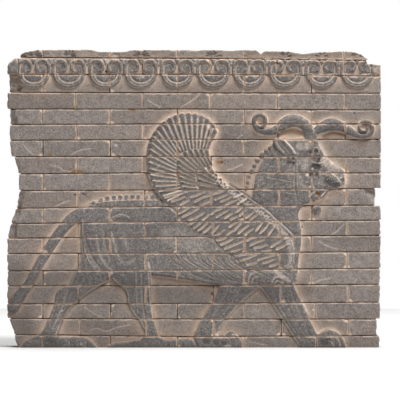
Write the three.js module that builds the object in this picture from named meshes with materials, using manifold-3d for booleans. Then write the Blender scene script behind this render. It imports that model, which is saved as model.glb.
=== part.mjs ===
// A panel of moulded brick wall with a winged lion in low relief, walking to the right.
// Millimetres, +X to the right, +Z up, the carved face looks along -Y.
// The origin is under the middle of the panel, on the surface it stands on.
// Every brick course is one piece and so is every mortar bed between two courses.

import * as THREE from 'three';
import { mergeVertices } from 'three/addons/utils/BufferGeometryUtils.js';
import Module from 'manifold-3d';

// Driving dimensions of the wall

const panelWidth = 1870;
const panelHeight = 1490;
const brickDepth = 165;
const reliefProud = 30;
const panelDepth = brickDepth + reliefProud;
const backY = panelDepth / 2;
const faceY = backY - brickDepth;
const frontY = -panelDepth / 2;
const leftX = -panelWidth / 2;
const rightX = panelWidth / 2;
const contactGap = 0.3;
const cutMargin = 5;

// Mortar: upright joints and beds are set back from the face of the bricks

const jointWidth = 6;
const jointSetBack = 6;
const bedHeight = 6;
const bedInset = 8;
const jointPitch = 336;
const oddCourseJoint = -756;
const evenCourseJoint = -600;
const evenCourseDrift = 1.2;

// The seams between the courses, from the foot of the panel up: height at its left end, middle and right end

const seams = [
  [65, 54, 60], [145, 142, 142], [218, 220, 227], [308, 310, 316], [383, 388, 396], [470, 472, 479],
  [546, 554, 561], [619, 631, 636], [696, 706, 712], [784, 788, 795], [868, 875, 872], [954, 955, 951],
  [1036, 1040, 1040], [1115, 1118, 1117], [1192, 1192, 1187], [1276, 1273, 1271], [1365, 1366, 1356],
  [1450, 1445, 1433],
];

// The worn top edge of the panel, from left to right

const copingLine = [
  [-868, 1466], [-840, 1478], [-780, 1488], [-510, 1490], [-480, 1480], [-360, 1478], [-300, 1488],
  [310, 1487], [335, 1468], [355, 1485], [480, 1480], [540, 1455], [590, 1474], [720, 1482], [790, 1480],
  [835, 1466], [865, 1444],
];

// Ends of the courses, from the foot up: left end at the seam below and above, then the right end likewise

const courseEnds = [
  [-880, -898, 922, 922], [-898, -920, 908, 908], [-930, -940, 922, 922], [-932, -932, 922, 922],
  [-930, -930, 925, 925], [-930, -932, 928, 928], [-935, -930, 930, 930], [-930, -915, 925, 925],
  [-912, -890, 930, 925], [-888, -872, 900, 900], [-872, -872, 930, 930], [-875, -895, 930, 935],
  [-910, -920, 932, 935], [-918, -918, 933, 930], [-918, -920, 935, 935], [-930, -930, 935, 935],
  [-920, -925, 935, 935], [-930, -910, 935, 935], [-868, -865, 865, 865],
].map((ends) => [Math.max(ends[0], leftX), Math.max(ends[1], leftX), ends[2], ends[3]]);

// Bricks whose ends have lost their face: course from the foot, side, how far in at the seam below and above

const brokenFaces = [
  { course: 8, side: -1, below: 45, above: 40 },
  { course: 9, side: -1, below: 30, above: 35 },
  { course: 10, side: -1, below: 30, above: 25 },
  { course: 10, side: 1, below: 10, above: 70 },
  { course: 15, side: -1, below: 30, above: 30 },
  { course: 17, side: -1, below: 60, above: 70 },
];
const brokenDepth = 35;
const brokenOverrun = 20;

// Heights of the relief above the face of the wall

const height = {
  tail: 14, farLegs: 15, trunk: 20, nearLegs: 24, neck: 22, head: 25, ear: 27, horns: 15, wing: 22,
  leadingEdge: 27, longFeather: 5, covert: 6, bead: 9, ring: 14, disc: 8, volute: 10, palmette: 7, stroke: 5,
};

// Outlines of the lion

const trunk = [
  [-570, 690], [-510, 715], [-450, 730], [-320, 740], [-120, 735], [280, 720], [455, 680], [525, 630],
  [540, 545], [520, 440], [480, 310], [140, 310], [-50, 340], [-220, 360], [-370, 335], [-480, 310],
  [-550, 340], [-585, 400], [-560, 460], [-560, 620],
];
const nearHindLeg = [
  [-550, 630], [-560, 460], [-585, 390], [-615, 320], [-660, 300], [-695, 270], [-705, 220],
  [-740, 130], [-765, 80], [-805, 55], [-845, 30], [-865, 0], [-485, 0], [-505, 25], [-535, 45],
  [-590, 55], [-650, 50], [-680, 55], [-680, 80], [-660, 130], [-630, 180], [-585, 230], [-520, 280],
  [-410, 345], [-380, 430], [-410, 550], [-480, 640],
];
const farHindLeg = [
  [-375, 340], [-350, 320], [-330, 280], [-330, 230], [-310, 180], [-275, 140], [-255, 100],
  [-250, 70], [-270, 40], [-330, 30], [-410, 20], [-445, 0], [20, 0], [5, 30], [-30, 45], [-100, 40],
  [-140, 40], [-170, 60], [-185, 90], [-210, 200], [-215, 360], [-220, 430], [-270, 460], [-330, 430],
];
const farForeleg = [
  [125, 310], [90, 230], [60, 180], [30, 130], [0, 60], [10, 30], [20, 0], [245, 0], [240, 30],
  [220, 55], [190, 80], [170, 75], [135, 50], [120, 70], [135, 100], [145, 130], [185, 175],
  [235, 230], [340, 310], [320, 360], [230, 380], [155, 360],
];
const nearForeleg = [
  [325, 310], [390, 230], [450, 140], [475, 110], [490, 70], [540, 0], [760, 0], [750, 30], [730, 60],
  [705, 80], [675, 90], [645, 80], [625, 70], [610, 90], [560, 180], [510, 300], [500, 350],
  [470, 430], [380, 450], [310, 400],
];
const neck = [
  [285, 720], [290, 790], [300, 850], [320, 900], [355, 960], [395, 1000], [430, 1030], [490, 1040],
  [620, 1040], [600, 940], [585, 740], [545, 710], [520, 670], [530, 580], [455, 540], [340, 610],
];
const head = [
  [540, 1040], [620, 1040], [650, 980], [670, 950], [720, 910], [750, 890], [757, 855], [740, 810],
  [710, 790], [675, 780], [635, 740], [610, 720], [580, 720], [575, 760], [545, 790], [510, 840],
  [505, 940], [520, 1010],
];
const ear = [
  [422, 1050], [465, 1010], [512, 965], [445, 962], [420, 985], [398, 1010],
];
const wing = [
  [110, 1100], [95, 1130], [45, 1160], [-30, 1175], [-110, 1160], [-180, 1110], [-220, 1050],
  [-240, 960], [-230, 870], [-190, 790], [-110, 700], [-40, 630], [30, 580], [105, 520], [185, 475],
  [270, 420], [340, 390], [480, 390], [500, 450], [495, 510], [470, 570], [415, 630], [340, 685],
  [190, 785], [135, 830], [95, 880], [72, 960], [80, 1030],
];

// Centrelines with the half width of the form at each point: the tail, and the wing's leading edge

const tail = [
  [-560, 655, 42], [-625, 622, 30], [-688, 552, 29], [-732, 483, 28], [-785, 395, 24], [-825, 320, 23],
  [-872, 260, 32], [-905, 205, 34],
];
const leadingEdge = [
  [85, 870, 10], [127, 818, 13], [180, 778, 14], [251, 730, 14], [330, 678, 15], [400, 622, 16],
  [452, 565, 17], [480, 508, 17], [486, 450, 15], [478, 395, 12],
];

const leftHorn = [
  [582, 1040, 38], [575, 1078, 31], [558, 1108, 29], [520, 1130, 30], [482, 1130, 32], [448, 1114, 30],
  [418, 1090, 24], [380, 1078, 18], [346, 1078, 13], [315, 1091, 12], [302, 1115, 10], [301, 1141, 10],
  [315, 1159, 10], [336, 1162, 10], [354, 1148, 10], [356, 1125, 10], [344, 1106, 9], [326, 1103, 8],
  [315, 1115, 6],
];
const rightHorn = [
  [608, 1082, 20], [642, 1100, 28], [680, 1114, 34], [715, 1110, 29], [750, 1098, 24], [780, 1080, 22],
  [808, 1065, 15], [835, 1057, 12], [864, 1060, 11], [886, 1076, 10], [892, 1100, 10], [882, 1120, 10],
  [863, 1128, 10], [842, 1124, 10], [828, 1109, 9], [830, 1090, 8], [844, 1082, 7], [860, 1086, 6],
  [865, 1098, 6],
];

// Feathers: the fans of the wing tip spring from a moving root and end on a curved rim

const outerFan = { count: 20, rootWidth: 8, tipWidth: 24 };
const outerRims = [
  [105, 1090], [85, 1125], [45, 1155], [0, 1168], [-60, 1168], [-115, 1150], [-170, 1110], [-207, 1060],
  [-228, 1000], [-234, 930], [-226, 865], [-205, 812], [-170, 765], [-130, 718],
];
const outerRoots = [
  [70, 1000], [50, 1000], [30, 997], [10, 992], [-10, 990], [-30, 985], [-50, 985], [-70, 980],
  [-80, 965], [-83, 930], [-83, 890], [-80, 850], [-65, 810], [-40, 770],
];
const secondFan = { count: 9, rootWidth: 8, tipWidth: 24 };
const secondRims = [
  [58, 988], [15, 990], [-25, 985], [-58, 972], [-80, 945], [-82, 910], [-78, 870], [-70, 825],
];
const secondRoots = [
  [85, 925], [65, 915], [45, 905], [20, 895], [10, 880], [5, 865], [5, 845], [5, 818],
];
const thirdFan = { count: 3, rootWidth: 12, tipWidth: 30 };
const thirdRims = [[68, 905], [30, 900], [15, 870], [22, 830]];
const thirdRoots = [[108, 855], [100, 845], [108, 825], [120, 806]];

// Covert feathers: each row lies in one course and holds groups of slanting feathers. The first tip, how
// far the tips of a group step right and down, the distance between groups, and the slope in degrees

const covertRows = [
  { tip: [-168, 768], step: [24, -30], groups: 5, pitch: 128, lines: 3, slope: 19, top: 781 },
  { tip: [-90, 684], step: [32, -23], groups: 5, pitch: 118, lines: 3, slope: 33, top: 703 },
  { tip: [-10, 604], step: [30, -23], groups: 5, pitch: 108, lines: 3, slope: 40, top: 627 },
  { tip: [96, 528], step: [32, -20], groups: 4, pitch: 130, lines: 3, slope: 22, top: 551 },
  { tip: [190, 446], step: [42, -22], groups: 3, pitch: 118, lines: 3, slope: 18, top: 468 },
];
const covertLength = 104;
const covertWidth = 20;
const covertRoot = 15;
const shortestCovert = 30;

// Beads along the back and the crest of the neck

const backBeads = [
  [-502, 722], [-465, 737], [-432, 747], [-400, 750], [-368, 752], [-338, 752], [-308, 755],
  [-278, 752], [-240, 752], [-205, 752], [-180, 752],
];
const crestBeads = [
  [385, 1002], [360, 982], [342, 965], [320, 937], [302, 910], [288, 885], [275, 857], [268, 822],
  [263, 802],
];
const backBeadRadius = 14;
const crestBeadRadius = 12;

// Frieze: hanging bowls with a pair of inward curls over each, and worn buds on the coping

const motifCount = 10;
const motifPitch = 180;
const firstMotif = -803;
const bowlTop = 1362;
const bowlHalfWidth = 80;
const bowlDrop = 66;
const bowlBand = 24;
const discHalfWidth = 52;
const discDrop = 38;
const voluteOffset = 43;
const voluteRadius = 29;
const voluteBand = 16;
const voluteCentre = 1398;
const voluteTurn = 250;
const voluteShrink = 0.62;
const voluteSplay = 1.1;
const palmetteHalfWidth = 50;
const palmetteHeight = 36;
const palmetteBase = 1444;

// The muzzle swells out of the head, and raised strokes mark the haunch, the shoulder and the toes

const muzzle = { x: 690, z: 842, halfWidth: 46, halfHeight: 38, proud: 30 };
const strokes = [
  [[-405, 655, 6], [-355, 660, 7], [-320, 645, 6]],
  [[-420, 560, 6], [-392, 485, 7], [-350, 448, 7], [-305, 430, 5]],
  [[-488, 520, 6], [-470, 455, 7], [-435, 400, 6]],
  [[-545, 475, 6], [-510, 420, 6], [-490, 390, 5]],
  [[270, 325, 5], [280, 365, 6], [312, 380, 5]],
  [[392, 325, 5], [412, 352, 6], [438, 348, 5]],
  [[682, 55, 5], [700, 30, 5], [705, 3, 5]],
  [[706, 62, 5], [728, 32, 5], [730, 3, 5]],
  [[190, 48, 5], [212, 28, 5], [215, 3, 5]],
];
const eye = { x: 606, z: 902, radius: 17, proud: 29 };
const brow = { x: 612, z: 946, radius: 19, proud: 29 };
const tuft = { x: 614, z: 685, radius: 24, proud: 14 };

// How round the edges of the raised forms are, and how deep they are set into the wall

const edgeRound = 7;
const earRound = 3;
const buried = 12;
const studSides = 6;
const studTaper = 0.6;
const featherShoulder = 0.45;

// Solids: the library that joins and cuts, and the way in and out of it

const wasm = await Module();
wasm.setup();

function toSolid(geometry) {
  const bare = geometry.clone();
  bare.deleteAttribute('normal');
  bare.deleteAttribute('uv');
  const merged = mergeVertices(bare, 1e-4);
  const mesh = new wasm.Mesh({
    numProp: 3,
    vertProperties: new Float32Array(merged.attributes.position.array),
    triVerts: new Uint32Array(merged.index.array),
  });
  return new wasm.Manifold(mesh);
}

function toGeometry(solid) {
  const mesh = solid.getMesh();
  const geometry = new THREE.BufferGeometry();
  geometry.setAttribute('position', new THREE.BufferAttribute(mesh.vertProperties, 3));
  geometry.setIndex(new THREE.BufferAttribute(mesh.triVerts, 1));
  geometry.computeVertexNormals();
  return geometry;
}

function joinAll(solids) {
  return solids.reduce((whole, solid) => whole.add(solid));
}

// A cut can leave a crumb of the relief hanging free, which would have fallen off: the largest body stays

function dropCrumbs(solid) {
  return solid.decompose().reduce((best, body) => (body.volume() > best.volume() ? body : best));
}

// An outline drawn in X and Z becomes a solid from one depth to another, nearer depths being smaller Y

function extrudeOutline(points, farY, nearY, round = 0) {
  const shape = new THREE.Shape(points.map(([x, z]) => new THREE.Vector2(x, z)));
  const thickness = farY - nearY;
  const geometry = new THREE.ExtrudeGeometry(shape, {
    depth: thickness - 2 * round,
    bevelEnabled: round > 0,
    bevelThickness: round,
    bevelSize: round,
    bevelOffset: -round,
    bevelSegments: 1,
  });
  geometry.rotateX(Math.PI / 2);
  geometry.translate(0, farY - round, 0);
  return toSolid(geometry);
}

function raise(points, proud, round = 0) {
  return extrudeOutline(points, faceY + buried, faceY - proud, round);
}

// A band of changing width along a centreline of [x, z, half width]

function bandOutline(stations) {
  const line = new THREE.SplineCurve(stations.map(([x, z]) => new THREE.Vector2(x, z)));
  const sides = [[], []];
  stations.forEach(([x, z, half], i) => {
    const along = line.getTangent(i / (stations.length - 1));
    sides[0].push([x - along.y * half, z + along.x * half]);
    sides[1].push([x + along.y * half, z - along.x * half]);
  });
  return [...sides[0], ...sides[1].reverse()];
}

function dome({ x, z, halfWidth, halfHeight, proud }) {
  const geometry = new THREE.SphereGeometry(1, 14, 6);
  geometry.scale(halfWidth, proud, halfHeight);
  geometry.translate(x, faceY, z);
  return toSolid(geometry);
}

function stud(x, z, radius, proud) {
  const geometry = new THREE.CylinderGeometry(radius * studTaper, radius, proud + buried, studSides);
  geometry.rotateX(Math.PI);
  geometry.translate(x, faceY + (buried - proud) / 2, z);
  return toSolid(geometry);
}

// A feather: narrow at the root, round at the tip

function feather(root, tip, rootWidth, tipWidth, proud) {
  const length = Math.hypot(tip[0] - root[0], tip[1] - root[1]);
  const along = [(tip[0] - root[0]) / length, (tip[1] - root[1]) / length];
  const place = (distance, side) => [
    root[0] + along[0] * distance - along[1] * side,
    root[1] + along[1] * distance + along[0] * side,
  ];
  const shoulder = length - tipWidth * featherShoulder;
  return raise([
    place(0, rootWidth / 2),
    place(0, -rootWidth / 2),
    place(shoulder, -tipWidth / 2),
    place(length, 0),
    place(shoulder, tipWidth / 2),
  ], proud);
}

function fan(sizes, rims, roots, proud) {
  const rim = new THREE.SplineCurve(rims.map(([x, z]) => new THREE.Vector2(x, z)));
  const root = new THREE.SplineCurve(roots.map(([x, z]) => new THREE.Vector2(x, z)));
  return Array.from({ length: sizes.count }, (_, i) => {
    const t = i / (sizes.count - 1);
    const tip = rim.getPointAt(t);
    const base = root.getPoint(t);
    return feather([base.x, base.y], [tip.x, tip.y], sizes.rootWidth, sizes.tipWidth, proud);
  });
}

// A row of coverts: a feather stops where its course ends, and none stands beyond the leading edge

function crossingAt(line, z) {
  for (let i = 1; i < line.length; i += 1) {
    const [x0, z0] = line[i - 1];
    const [x1, z1] = line[i];
    if ((z0 - z) * (z1 - z) <= 0 && z0 !== z1) return x0 + ((x1 - x0) * (z - z0)) / (z1 - z0);
  }
  return line[0][0];
}

function covertFeathers(row) {
  const slope = THREE.MathUtils.degToRad(row.slope);
  const feathers = [];
  for (let group = 0; group < row.groups; group += 1) {
    for (let line = 0; line < row.lines; line += 1) {
      const x = row.tip[0] + group * row.pitch + line * row.step[0];
      const z = row.tip[1] + line * row.step[1];
      const edge = crossingAt(leadingEdge, z);
      const toEdge = (edge - x) / (Math.cos(slope) + Math.sin(slope));
      const length = Math.min(covertLength, (row.top - z) / Math.sin(slope), toEdge);
      const root = [x + length * Math.cos(slope), z + length * Math.sin(slope)];
      if (length > shortestCovert) {
        feathers.push(feather(root, [x, z], covertRoot, covertWidth, height.wing + height.covert));
      }
    }
  }
  return feathers;
}

// Frieze motifs

function halfEllipse(x, z, halfWidth, drop, steps) {
  return Array.from({ length: steps + 1 }, (_, i) => {
    const angle = Math.PI + (Math.PI * i) / steps;
    return [x + halfWidth * Math.cos(angle), z + drop * Math.sin(angle)];
  });
}

function bowl(x) {
  const outer = halfEllipse(x, bowlTop, bowlHalfWidth, bowlDrop, 6);
  const inner = halfEllipse(x, bowlTop, bowlHalfWidth - bowlBand, bowlDrop - bowlBand, 4);
  const ring = raise([...outer, ...inner.reverse()], height.ring);
  const disc = raise(halfEllipse(x, bowlTop, discHalfWidth, discDrop, 4), height.disc);
  return ring.add(disc);
}

function volute(x, turn) {
  const steps = 4;
  const radius = voluteRadius - voluteBand / 2;
  const arch = Array.from({ length: steps + 1 }, (_, i) => {
    const angle = THREE.MathUtils.degToRad(voluteTurn) * (i / steps);
    const reach = radius * THREE.MathUtils.lerp(1, voluteShrink, i / steps);
    return [x + turn * reach * Math.cos(angle), voluteCentre + reach * Math.sin(angle), voluteBand / 2];
  });
  const foot = [x + turn * radius * voluteSplay, bowlTop, voluteBand / 2];
  return raise(bandOutline([foot, ...arch]), height.volute);
}

function palmette(x) {
  return raise(halfEllipse(x, palmetteBase, palmetteHalfWidth, -palmetteHeight, 4), height.palmette);
}

function frieze() {
  const pieces = [];
  for (let i = 0; i < motifCount; i += 1) {
    const x = firstMotif + i * motifPitch;
    pieces.push(bowl(x), volute(x - voluteOffset, -1), volute(x + voluteOffset, 1), palmette(x));
  }
  return joinAll(pieces);
}

// The figure without its fine parts, and the fine parts on it

function figureMass(round) {
  return joinAll([
    raise(bandOutline(tail), height.tail),
    raise(farHindLeg, height.farLegs),
    raise(farForeleg, height.farLegs),
    raise(trunk, height.trunk, round),
    raise(nearHindLeg, height.nearLegs),
    raise(nearForeleg, height.nearLegs),
    raise(neck, height.neck),
    raise(head, height.head, round),
    raise(wing, height.wing, round),
  ]);
}

function fineParts() {
  const longProud = height.wing + height.longFeather;
  return joinAll([
    raise(ear, height.ear, earRound),
    raise(bandOutline(leadingEdge), height.leadingEdge),
    raise(bandOutline(leftHorn), height.horns),
    raise(bandOutline(rightHorn), height.horns),
    dome(muzzle),
    ...strokes.map((stroke) => raise(bandOutline(stroke), height.nearLegs + height.stroke)),
    ...fan(outerFan, outerRims, outerRoots, longProud),
    ...fan(secondFan, secondRims, secondRoots, longProud),
    ...fan(thirdFan, thirdRims, thirdRoots, longProud),
    ...covertRows.flatMap((row) => covertFeathers(row)),
    ...backBeads.map(([x, z]) => stud(x, z, backBeadRadius, height.bead)),
    ...crestBeads.map(([x, z]) => stud(x, z, crestBeadRadius, height.bead)),
    stud(eye.x, eye.z, eye.radius, eye.proud),
    stud(brow.x, brow.z, brow.radius, brow.proud),
    stud(tuft.x, tuft.z, tuft.radius, tuft.proud),
  ]);
}

// The wall: the outline of a course between two seams, and what its ends have lost

const courseCount = courseEnds.length;
const friezeFoot = 16;

function seamPoints(index, shift) {
  const [left, middle, right] = seams[index];
  return [[leftX, left + shift], [0, middle + shift], [rightX, right + shift]];
}

function heightOn(line, x) {
  for (let i = 1; i < line.length; i += 1) {
    const [x0, z0] = line[i - 1];
    const [x1, z1] = line[i];
    if (x <= x1) return z0 + ((z1 - z0) * (x - x0)) / (x1 - x0);
  }
  return line[line.length - 1][1];
}

function courseLines(index) {
  const half = bedHeight / 2;
  const isFoot = index === 0;
  const isCoping = index === courseCount - 1;
  const bottom = isFoot ? [[leftX, 0], [rightX, 0]] : seamPoints(index - 1, half);
  const top = isCoping ? copingLine : seamPoints(index, -half);
  return { bottom, top };
}

function courseOutline(index) {
  const { bottom, top } = courseLines(index);
  const [leftBelow, leftAbove, rightBelow, rightAbove] = courseEnds[index];
  const between = (line, from, to) => line.filter(([x]) => x > from + 1 && x < to - 1);
  return [
    [leftBelow, heightOn(bottom, leftBelow)],
    ...between(bottom, leftBelow, rightBelow),
    [rightBelow, heightOn(bottom, rightBelow)],
    [rightAbove, heightOn(top, rightAbove)],
    ...between(top, leftAbove, rightAbove).reverse(),
    [leftAbove, heightOn(top, leftAbove)],
  ];
}

// An upright joint is raked out to a V: deep through the frieze, while the thin figure runs on over it

function uprightGroove(x, low, high, nearY) {
  const half = jointWidth / 2;
  const profile = [[x - half, nearY], [x + half, nearY], [x + half, faceY], [x, faceY + jointSetBack],
    [x - half, faceY]];
  const shape = new THREE.Shape(profile.map(([px, py]) => new THREE.Vector2(px, py)));
  const geometry = new THREE.ExtrudeGeometry(shape, { depth: high - low, bevelEnabled: false });
  geometry.translate(0, 0, low);
  return toSolid(geometry);
}

function uprightSlots(index) {
  const fromTop = courseCount - index;
  const odd = fromTop % 2 === 1;
  const first = odd ? oddCourseJoint : evenCourseJoint + evenCourseDrift * fromTop;
  const { bottom, top } = courseLines(index);
  const [leftBelow, , rightBelow] = courseEnds[index];
  const nearY = index < friezeFoot ? faceY - contactGap : frontY;
  const slots = [];
  for (let x = first; x < rightBelow - jointWidth; x += jointPitch) {
    if (x > leftBelow + jointWidth) {
      const low = heightOn(bottom, x) - cutMargin;
      const high = heightOn(top, x) + cutMargin;
      slots.push(uprightGroove(x, low, high, nearY));
    }
  }
  return joinAll(slots);
}

function lostFace({ course, side, below, above }) {
  const [leftBelow, leftAbove, rightBelow, rightAbove] = courseEnds[course - 1];
  const { bottom, top } = courseLines(course - 1);
  const endBelow = side < 0 ? leftBelow : rightBelow;
  const endAbove = side < 0 ? leftAbove : rightAbove;
  const out = side * brokenOverrun;
  const low = heightOn(bottom, endBelow) - cutMargin;
  const high = heightOn(top, endAbove) + cutMargin;
  const shape = [
    [endBelow + out, low], [endBelow - side * below, low],
    [endAbove - side * above, high], [endAbove + out, high],
  ];
  const outline = side < 0 ? shape : shape.reverse();
  return extrudeOutline(outline, faceY + brokenDepth, faceY - contactGap);
}

const courseNames = [
  'foot', 'paws', 'shins', 'hocks', 'knees', 'belly', 'flank', 'haunch', 'coverts', 'back', 'beads',
  'muzzle', 'eye', 'ear', 'horns', 'curls', 'bowls', 'volutes', 'coping',
];

function buildWall() {
  const [left, right] = [leftX - cutMargin, rightX + cutMargin];
  const [low, high] = [-cutMargin, panelHeight + cutMargin];
  const block = extrudeOutline([[left, low], [right, low], [right, high], [left, high]], backY, faceY);
  const carved = joinAll([block, figureMass(edgeRound), fineParts(), frieze()]);
  const setBack = block.add(figureMass(0)).translate([0, jointSetBack, 0]);
  return { carved, setBack };
}

function courseSolid(index, wall) {
  const band = extrudeOutline(courseOutline(index), backY, frontY);
  let solid = band.intersect(wall.carved).subtract(uprightSlots(index).subtract(wall.setBack));
  brokenFaces.filter(({ course }) => course === index + 1).forEach((loss) => {
    solid = solid.subtract(lostFace(loss));
  });
  return dropCrumbs(solid);
}

function bedSolid(index, wall) {
  const half = bedHeight / 2 - contactGap;
  const [lower, upper] = [courseEnds[index], courseEnds[index + 1]];
  const left = Math.max(lower[1], upper[0]) + bedInset;
  const right = Math.min(lower[3], upper[2]) - bedInset;
  const line = seamPoints(index, 0);
  const stops = [left, 0, right].map((x) => [x, heightOn(line, x)]);
  const outline = [
    ...stops.map(([x, z]) => [x, z - half]),
    ...stops.map(([x, z]) => [x, z + half]).reverse(),
  ];
  return dropCrumbs(extrudeOutline(outline, backY, frontY).intersect(wall.setBack));
}

// Materials

const firedBrick = { color: 0x8d857e, roughness: 0.92, metalness: 0 };
const limeMortar = { color: 0xb79a80, roughness: 0.96, metalness: 0 };

function addPiece(group, name, solid, look) {
  const mesh = new THREE.Mesh(toGeometry(solid), new THREE.MeshStandardMaterial(look));
  mesh.name = name;
  group.add(mesh);
}

const panel = new THREE.Group();
const wall = buildWall();
for (let i = 0; i < courseCount; i += 1) {
  const number = String(i + 1).padStart(2, '0');
  addPiece(panel, `course_${number}_${courseNames[i]}`, courseSolid(i, wall), firedBrick);
}
for (let i = 0; i < courseCount - 1; i += 1) {
  const number = String(i + 1).padStart(2, '0');
  addPiece(panel, `mortar_bed_${number}`, bedSolid(i, wall), limeMortar);
}

export default panel;
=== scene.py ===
"""A panel of moulded brick wall with a winged lion walking in low relief, dressed brick by brick.

A fine height field, carved from named shapes, holds the relief. Every brick and every mortar joint samples
it, so the figure runs on over the joints as it does on a wall of moulded bricks. Sizes are in millimetres,
+X to the right, +Z up and the carved face towards -Y, and they become metres when a mesh is placed.
"""

import logging
import math
from collections.abc import Sequence
from dataclasses import dataclass, field
from enum import Enum

import bmesh
import bpy
import numpy as np
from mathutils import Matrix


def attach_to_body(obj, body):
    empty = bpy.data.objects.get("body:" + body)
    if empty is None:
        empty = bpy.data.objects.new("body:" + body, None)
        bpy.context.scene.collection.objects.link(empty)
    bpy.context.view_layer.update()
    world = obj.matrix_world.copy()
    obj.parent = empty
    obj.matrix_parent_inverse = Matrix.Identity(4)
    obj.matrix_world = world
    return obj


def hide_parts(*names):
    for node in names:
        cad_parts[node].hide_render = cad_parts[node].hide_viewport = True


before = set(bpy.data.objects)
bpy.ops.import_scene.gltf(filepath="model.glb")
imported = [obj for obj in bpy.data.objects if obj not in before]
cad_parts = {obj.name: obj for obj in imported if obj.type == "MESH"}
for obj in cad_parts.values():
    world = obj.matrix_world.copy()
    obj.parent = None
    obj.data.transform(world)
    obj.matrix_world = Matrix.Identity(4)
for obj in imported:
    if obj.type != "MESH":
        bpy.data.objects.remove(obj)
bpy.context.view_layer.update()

log = logging.getLogger("relief")

Point = tuple[float, float]
Station = tuple[float, float, float]
Outline = Sequence[Point]
Line = Sequence[Station]
Window = tuple[slice, slice]

MM = 0.001
# the planes of the panel: the plain face, the flat back, the foremost relief and the two ends
FACE, BACK, FRONT = -67.5, 97.5, -97.5
LEFT, RIGHT = -935.0, 935.0
# share of a flat band's half width that its rounded rim takes
FLAT_RIM = 0.45


class Section(Enum):
    """How a raised or sunk band is shaped across its width."""

    ROUND = "round"
    FLAT = "flat"
    RIDGE = "ridge"
    SOFT = "soft"


class Way(Enum):
    """How a shape meets what is carved already."""

    OVER = "over"
    ADD = "add"
    CUT = "cut"


def unit(values: np.ndarray) -> np.ndarray:
    """Holds values between 0 and 1."""
    return np.clip(values, 0.0, 1.0)


def section_height(share: np.ndarray, section: Section) -> np.ndarray:
    """Height across a band.

    Args:
        share: distance from the band's middle as a share of its half width.
        section: the shape across the band.

    Returns:
        Height from 0 to 1, and 0 outside the band.
    """
    inner = unit(1.0 - share)
    if section is Section.ROUND:
        return np.sqrt(unit(1.0 - (1.0 - inner) ** 2))
    if section is Section.FLAT:
        rim = unit(inner / FLAT_RIM)
        return np.sqrt(1.0 - (1.0 - rim) ** 2)
    if section is Section.RIDGE:
        return inner
    return inner * inner * (3.0 - 2.0 * inner)


def curve_through(points: Sequence, steps: int = 5) -> np.ndarray:
    """Smooth open run through points of any number of columns.

    Args:
        points: the points to pass through.
        steps: pieces between two points.

    Returns:
        The finer points, one row each.
    """
    rows = np.asarray(points, float)
    if len(rows) < 3 or steps < 2:
        return rows
    ends = np.vstack([2 * rows[0] - rows[1], rows, 2 * rows[-1] - rows[-2]])
    t = np.linspace(0.0, 1.0, steps, endpoint=False)[:, None]
    runs = []
    for a, b, c, d in zip(ends, ends[1:], ends[2:], ends[3:]):
        bend, twist = 2 * a - 5 * b + 4 * c - d, 3 * b - a - 3 * c + d
        runs.append(0.5 * (2 * b + (c - a) * t + bend * t**2 + twist * t**3))
    runs.append(rows[-1:])
    return np.vstack(runs)


def closed_outline(points: Outline, steps: int = 4) -> np.ndarray:
    """Closed outline, smooth but for the corners, which are points given twice.

    Args:
        points: the outline's points in order.
        steps: pieces between two points.

    Returns:
        The finer outline.
    """
    corners = [i for i, point in enumerate(points) if point == points[(i + 1) % len(points)]]
    if not corners:
        ring = points[-2:] + points + points[:2]
        fine = curve_through(ring, steps)
        return fine[2 * steps:(2 + len(points)) * steps]
    runs = []
    for corner, following in zip(corners, corners[1:] + corners[:1]):
        count = (following - corner - 1) % len(points)
        run = [points[(corner + 1 + k) % len(points)] for k in range(count + 1)]
        runs.append(curve_through(run, steps)[:-1] if len(run) > 2 else np.asarray(run[:1], float))
    return np.vstack(runs)


def blurred(values: np.ndarray, cells: int, passes: int = 2) -> np.ndarray:
    """Mean of a field over a square of cells, repeated to soften it.

    Args:
        values: the field.
        cells: half the side of the square.
        passes: how often the mean is taken.

    Returns:
        The smoothed field, of the same shape.
    """
    result = values.astype(np.float64)
    width = 2 * cells + 1
    for _ in range(passes):
        for axis in (0, 1):
            pad = [(0, 0), (0, 0)]
            pad[axis] = (cells + 1, cells)
            total = np.cumsum(np.pad(result, pad, mode="edge"), axis=axis)
            high = np.take(total, range(width, total.shape[axis]), axis=axis)
            low = np.take(total, range(0, total.shape[axis] - width), axis=axis)
            result = (high - low) / width
    return result


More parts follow.
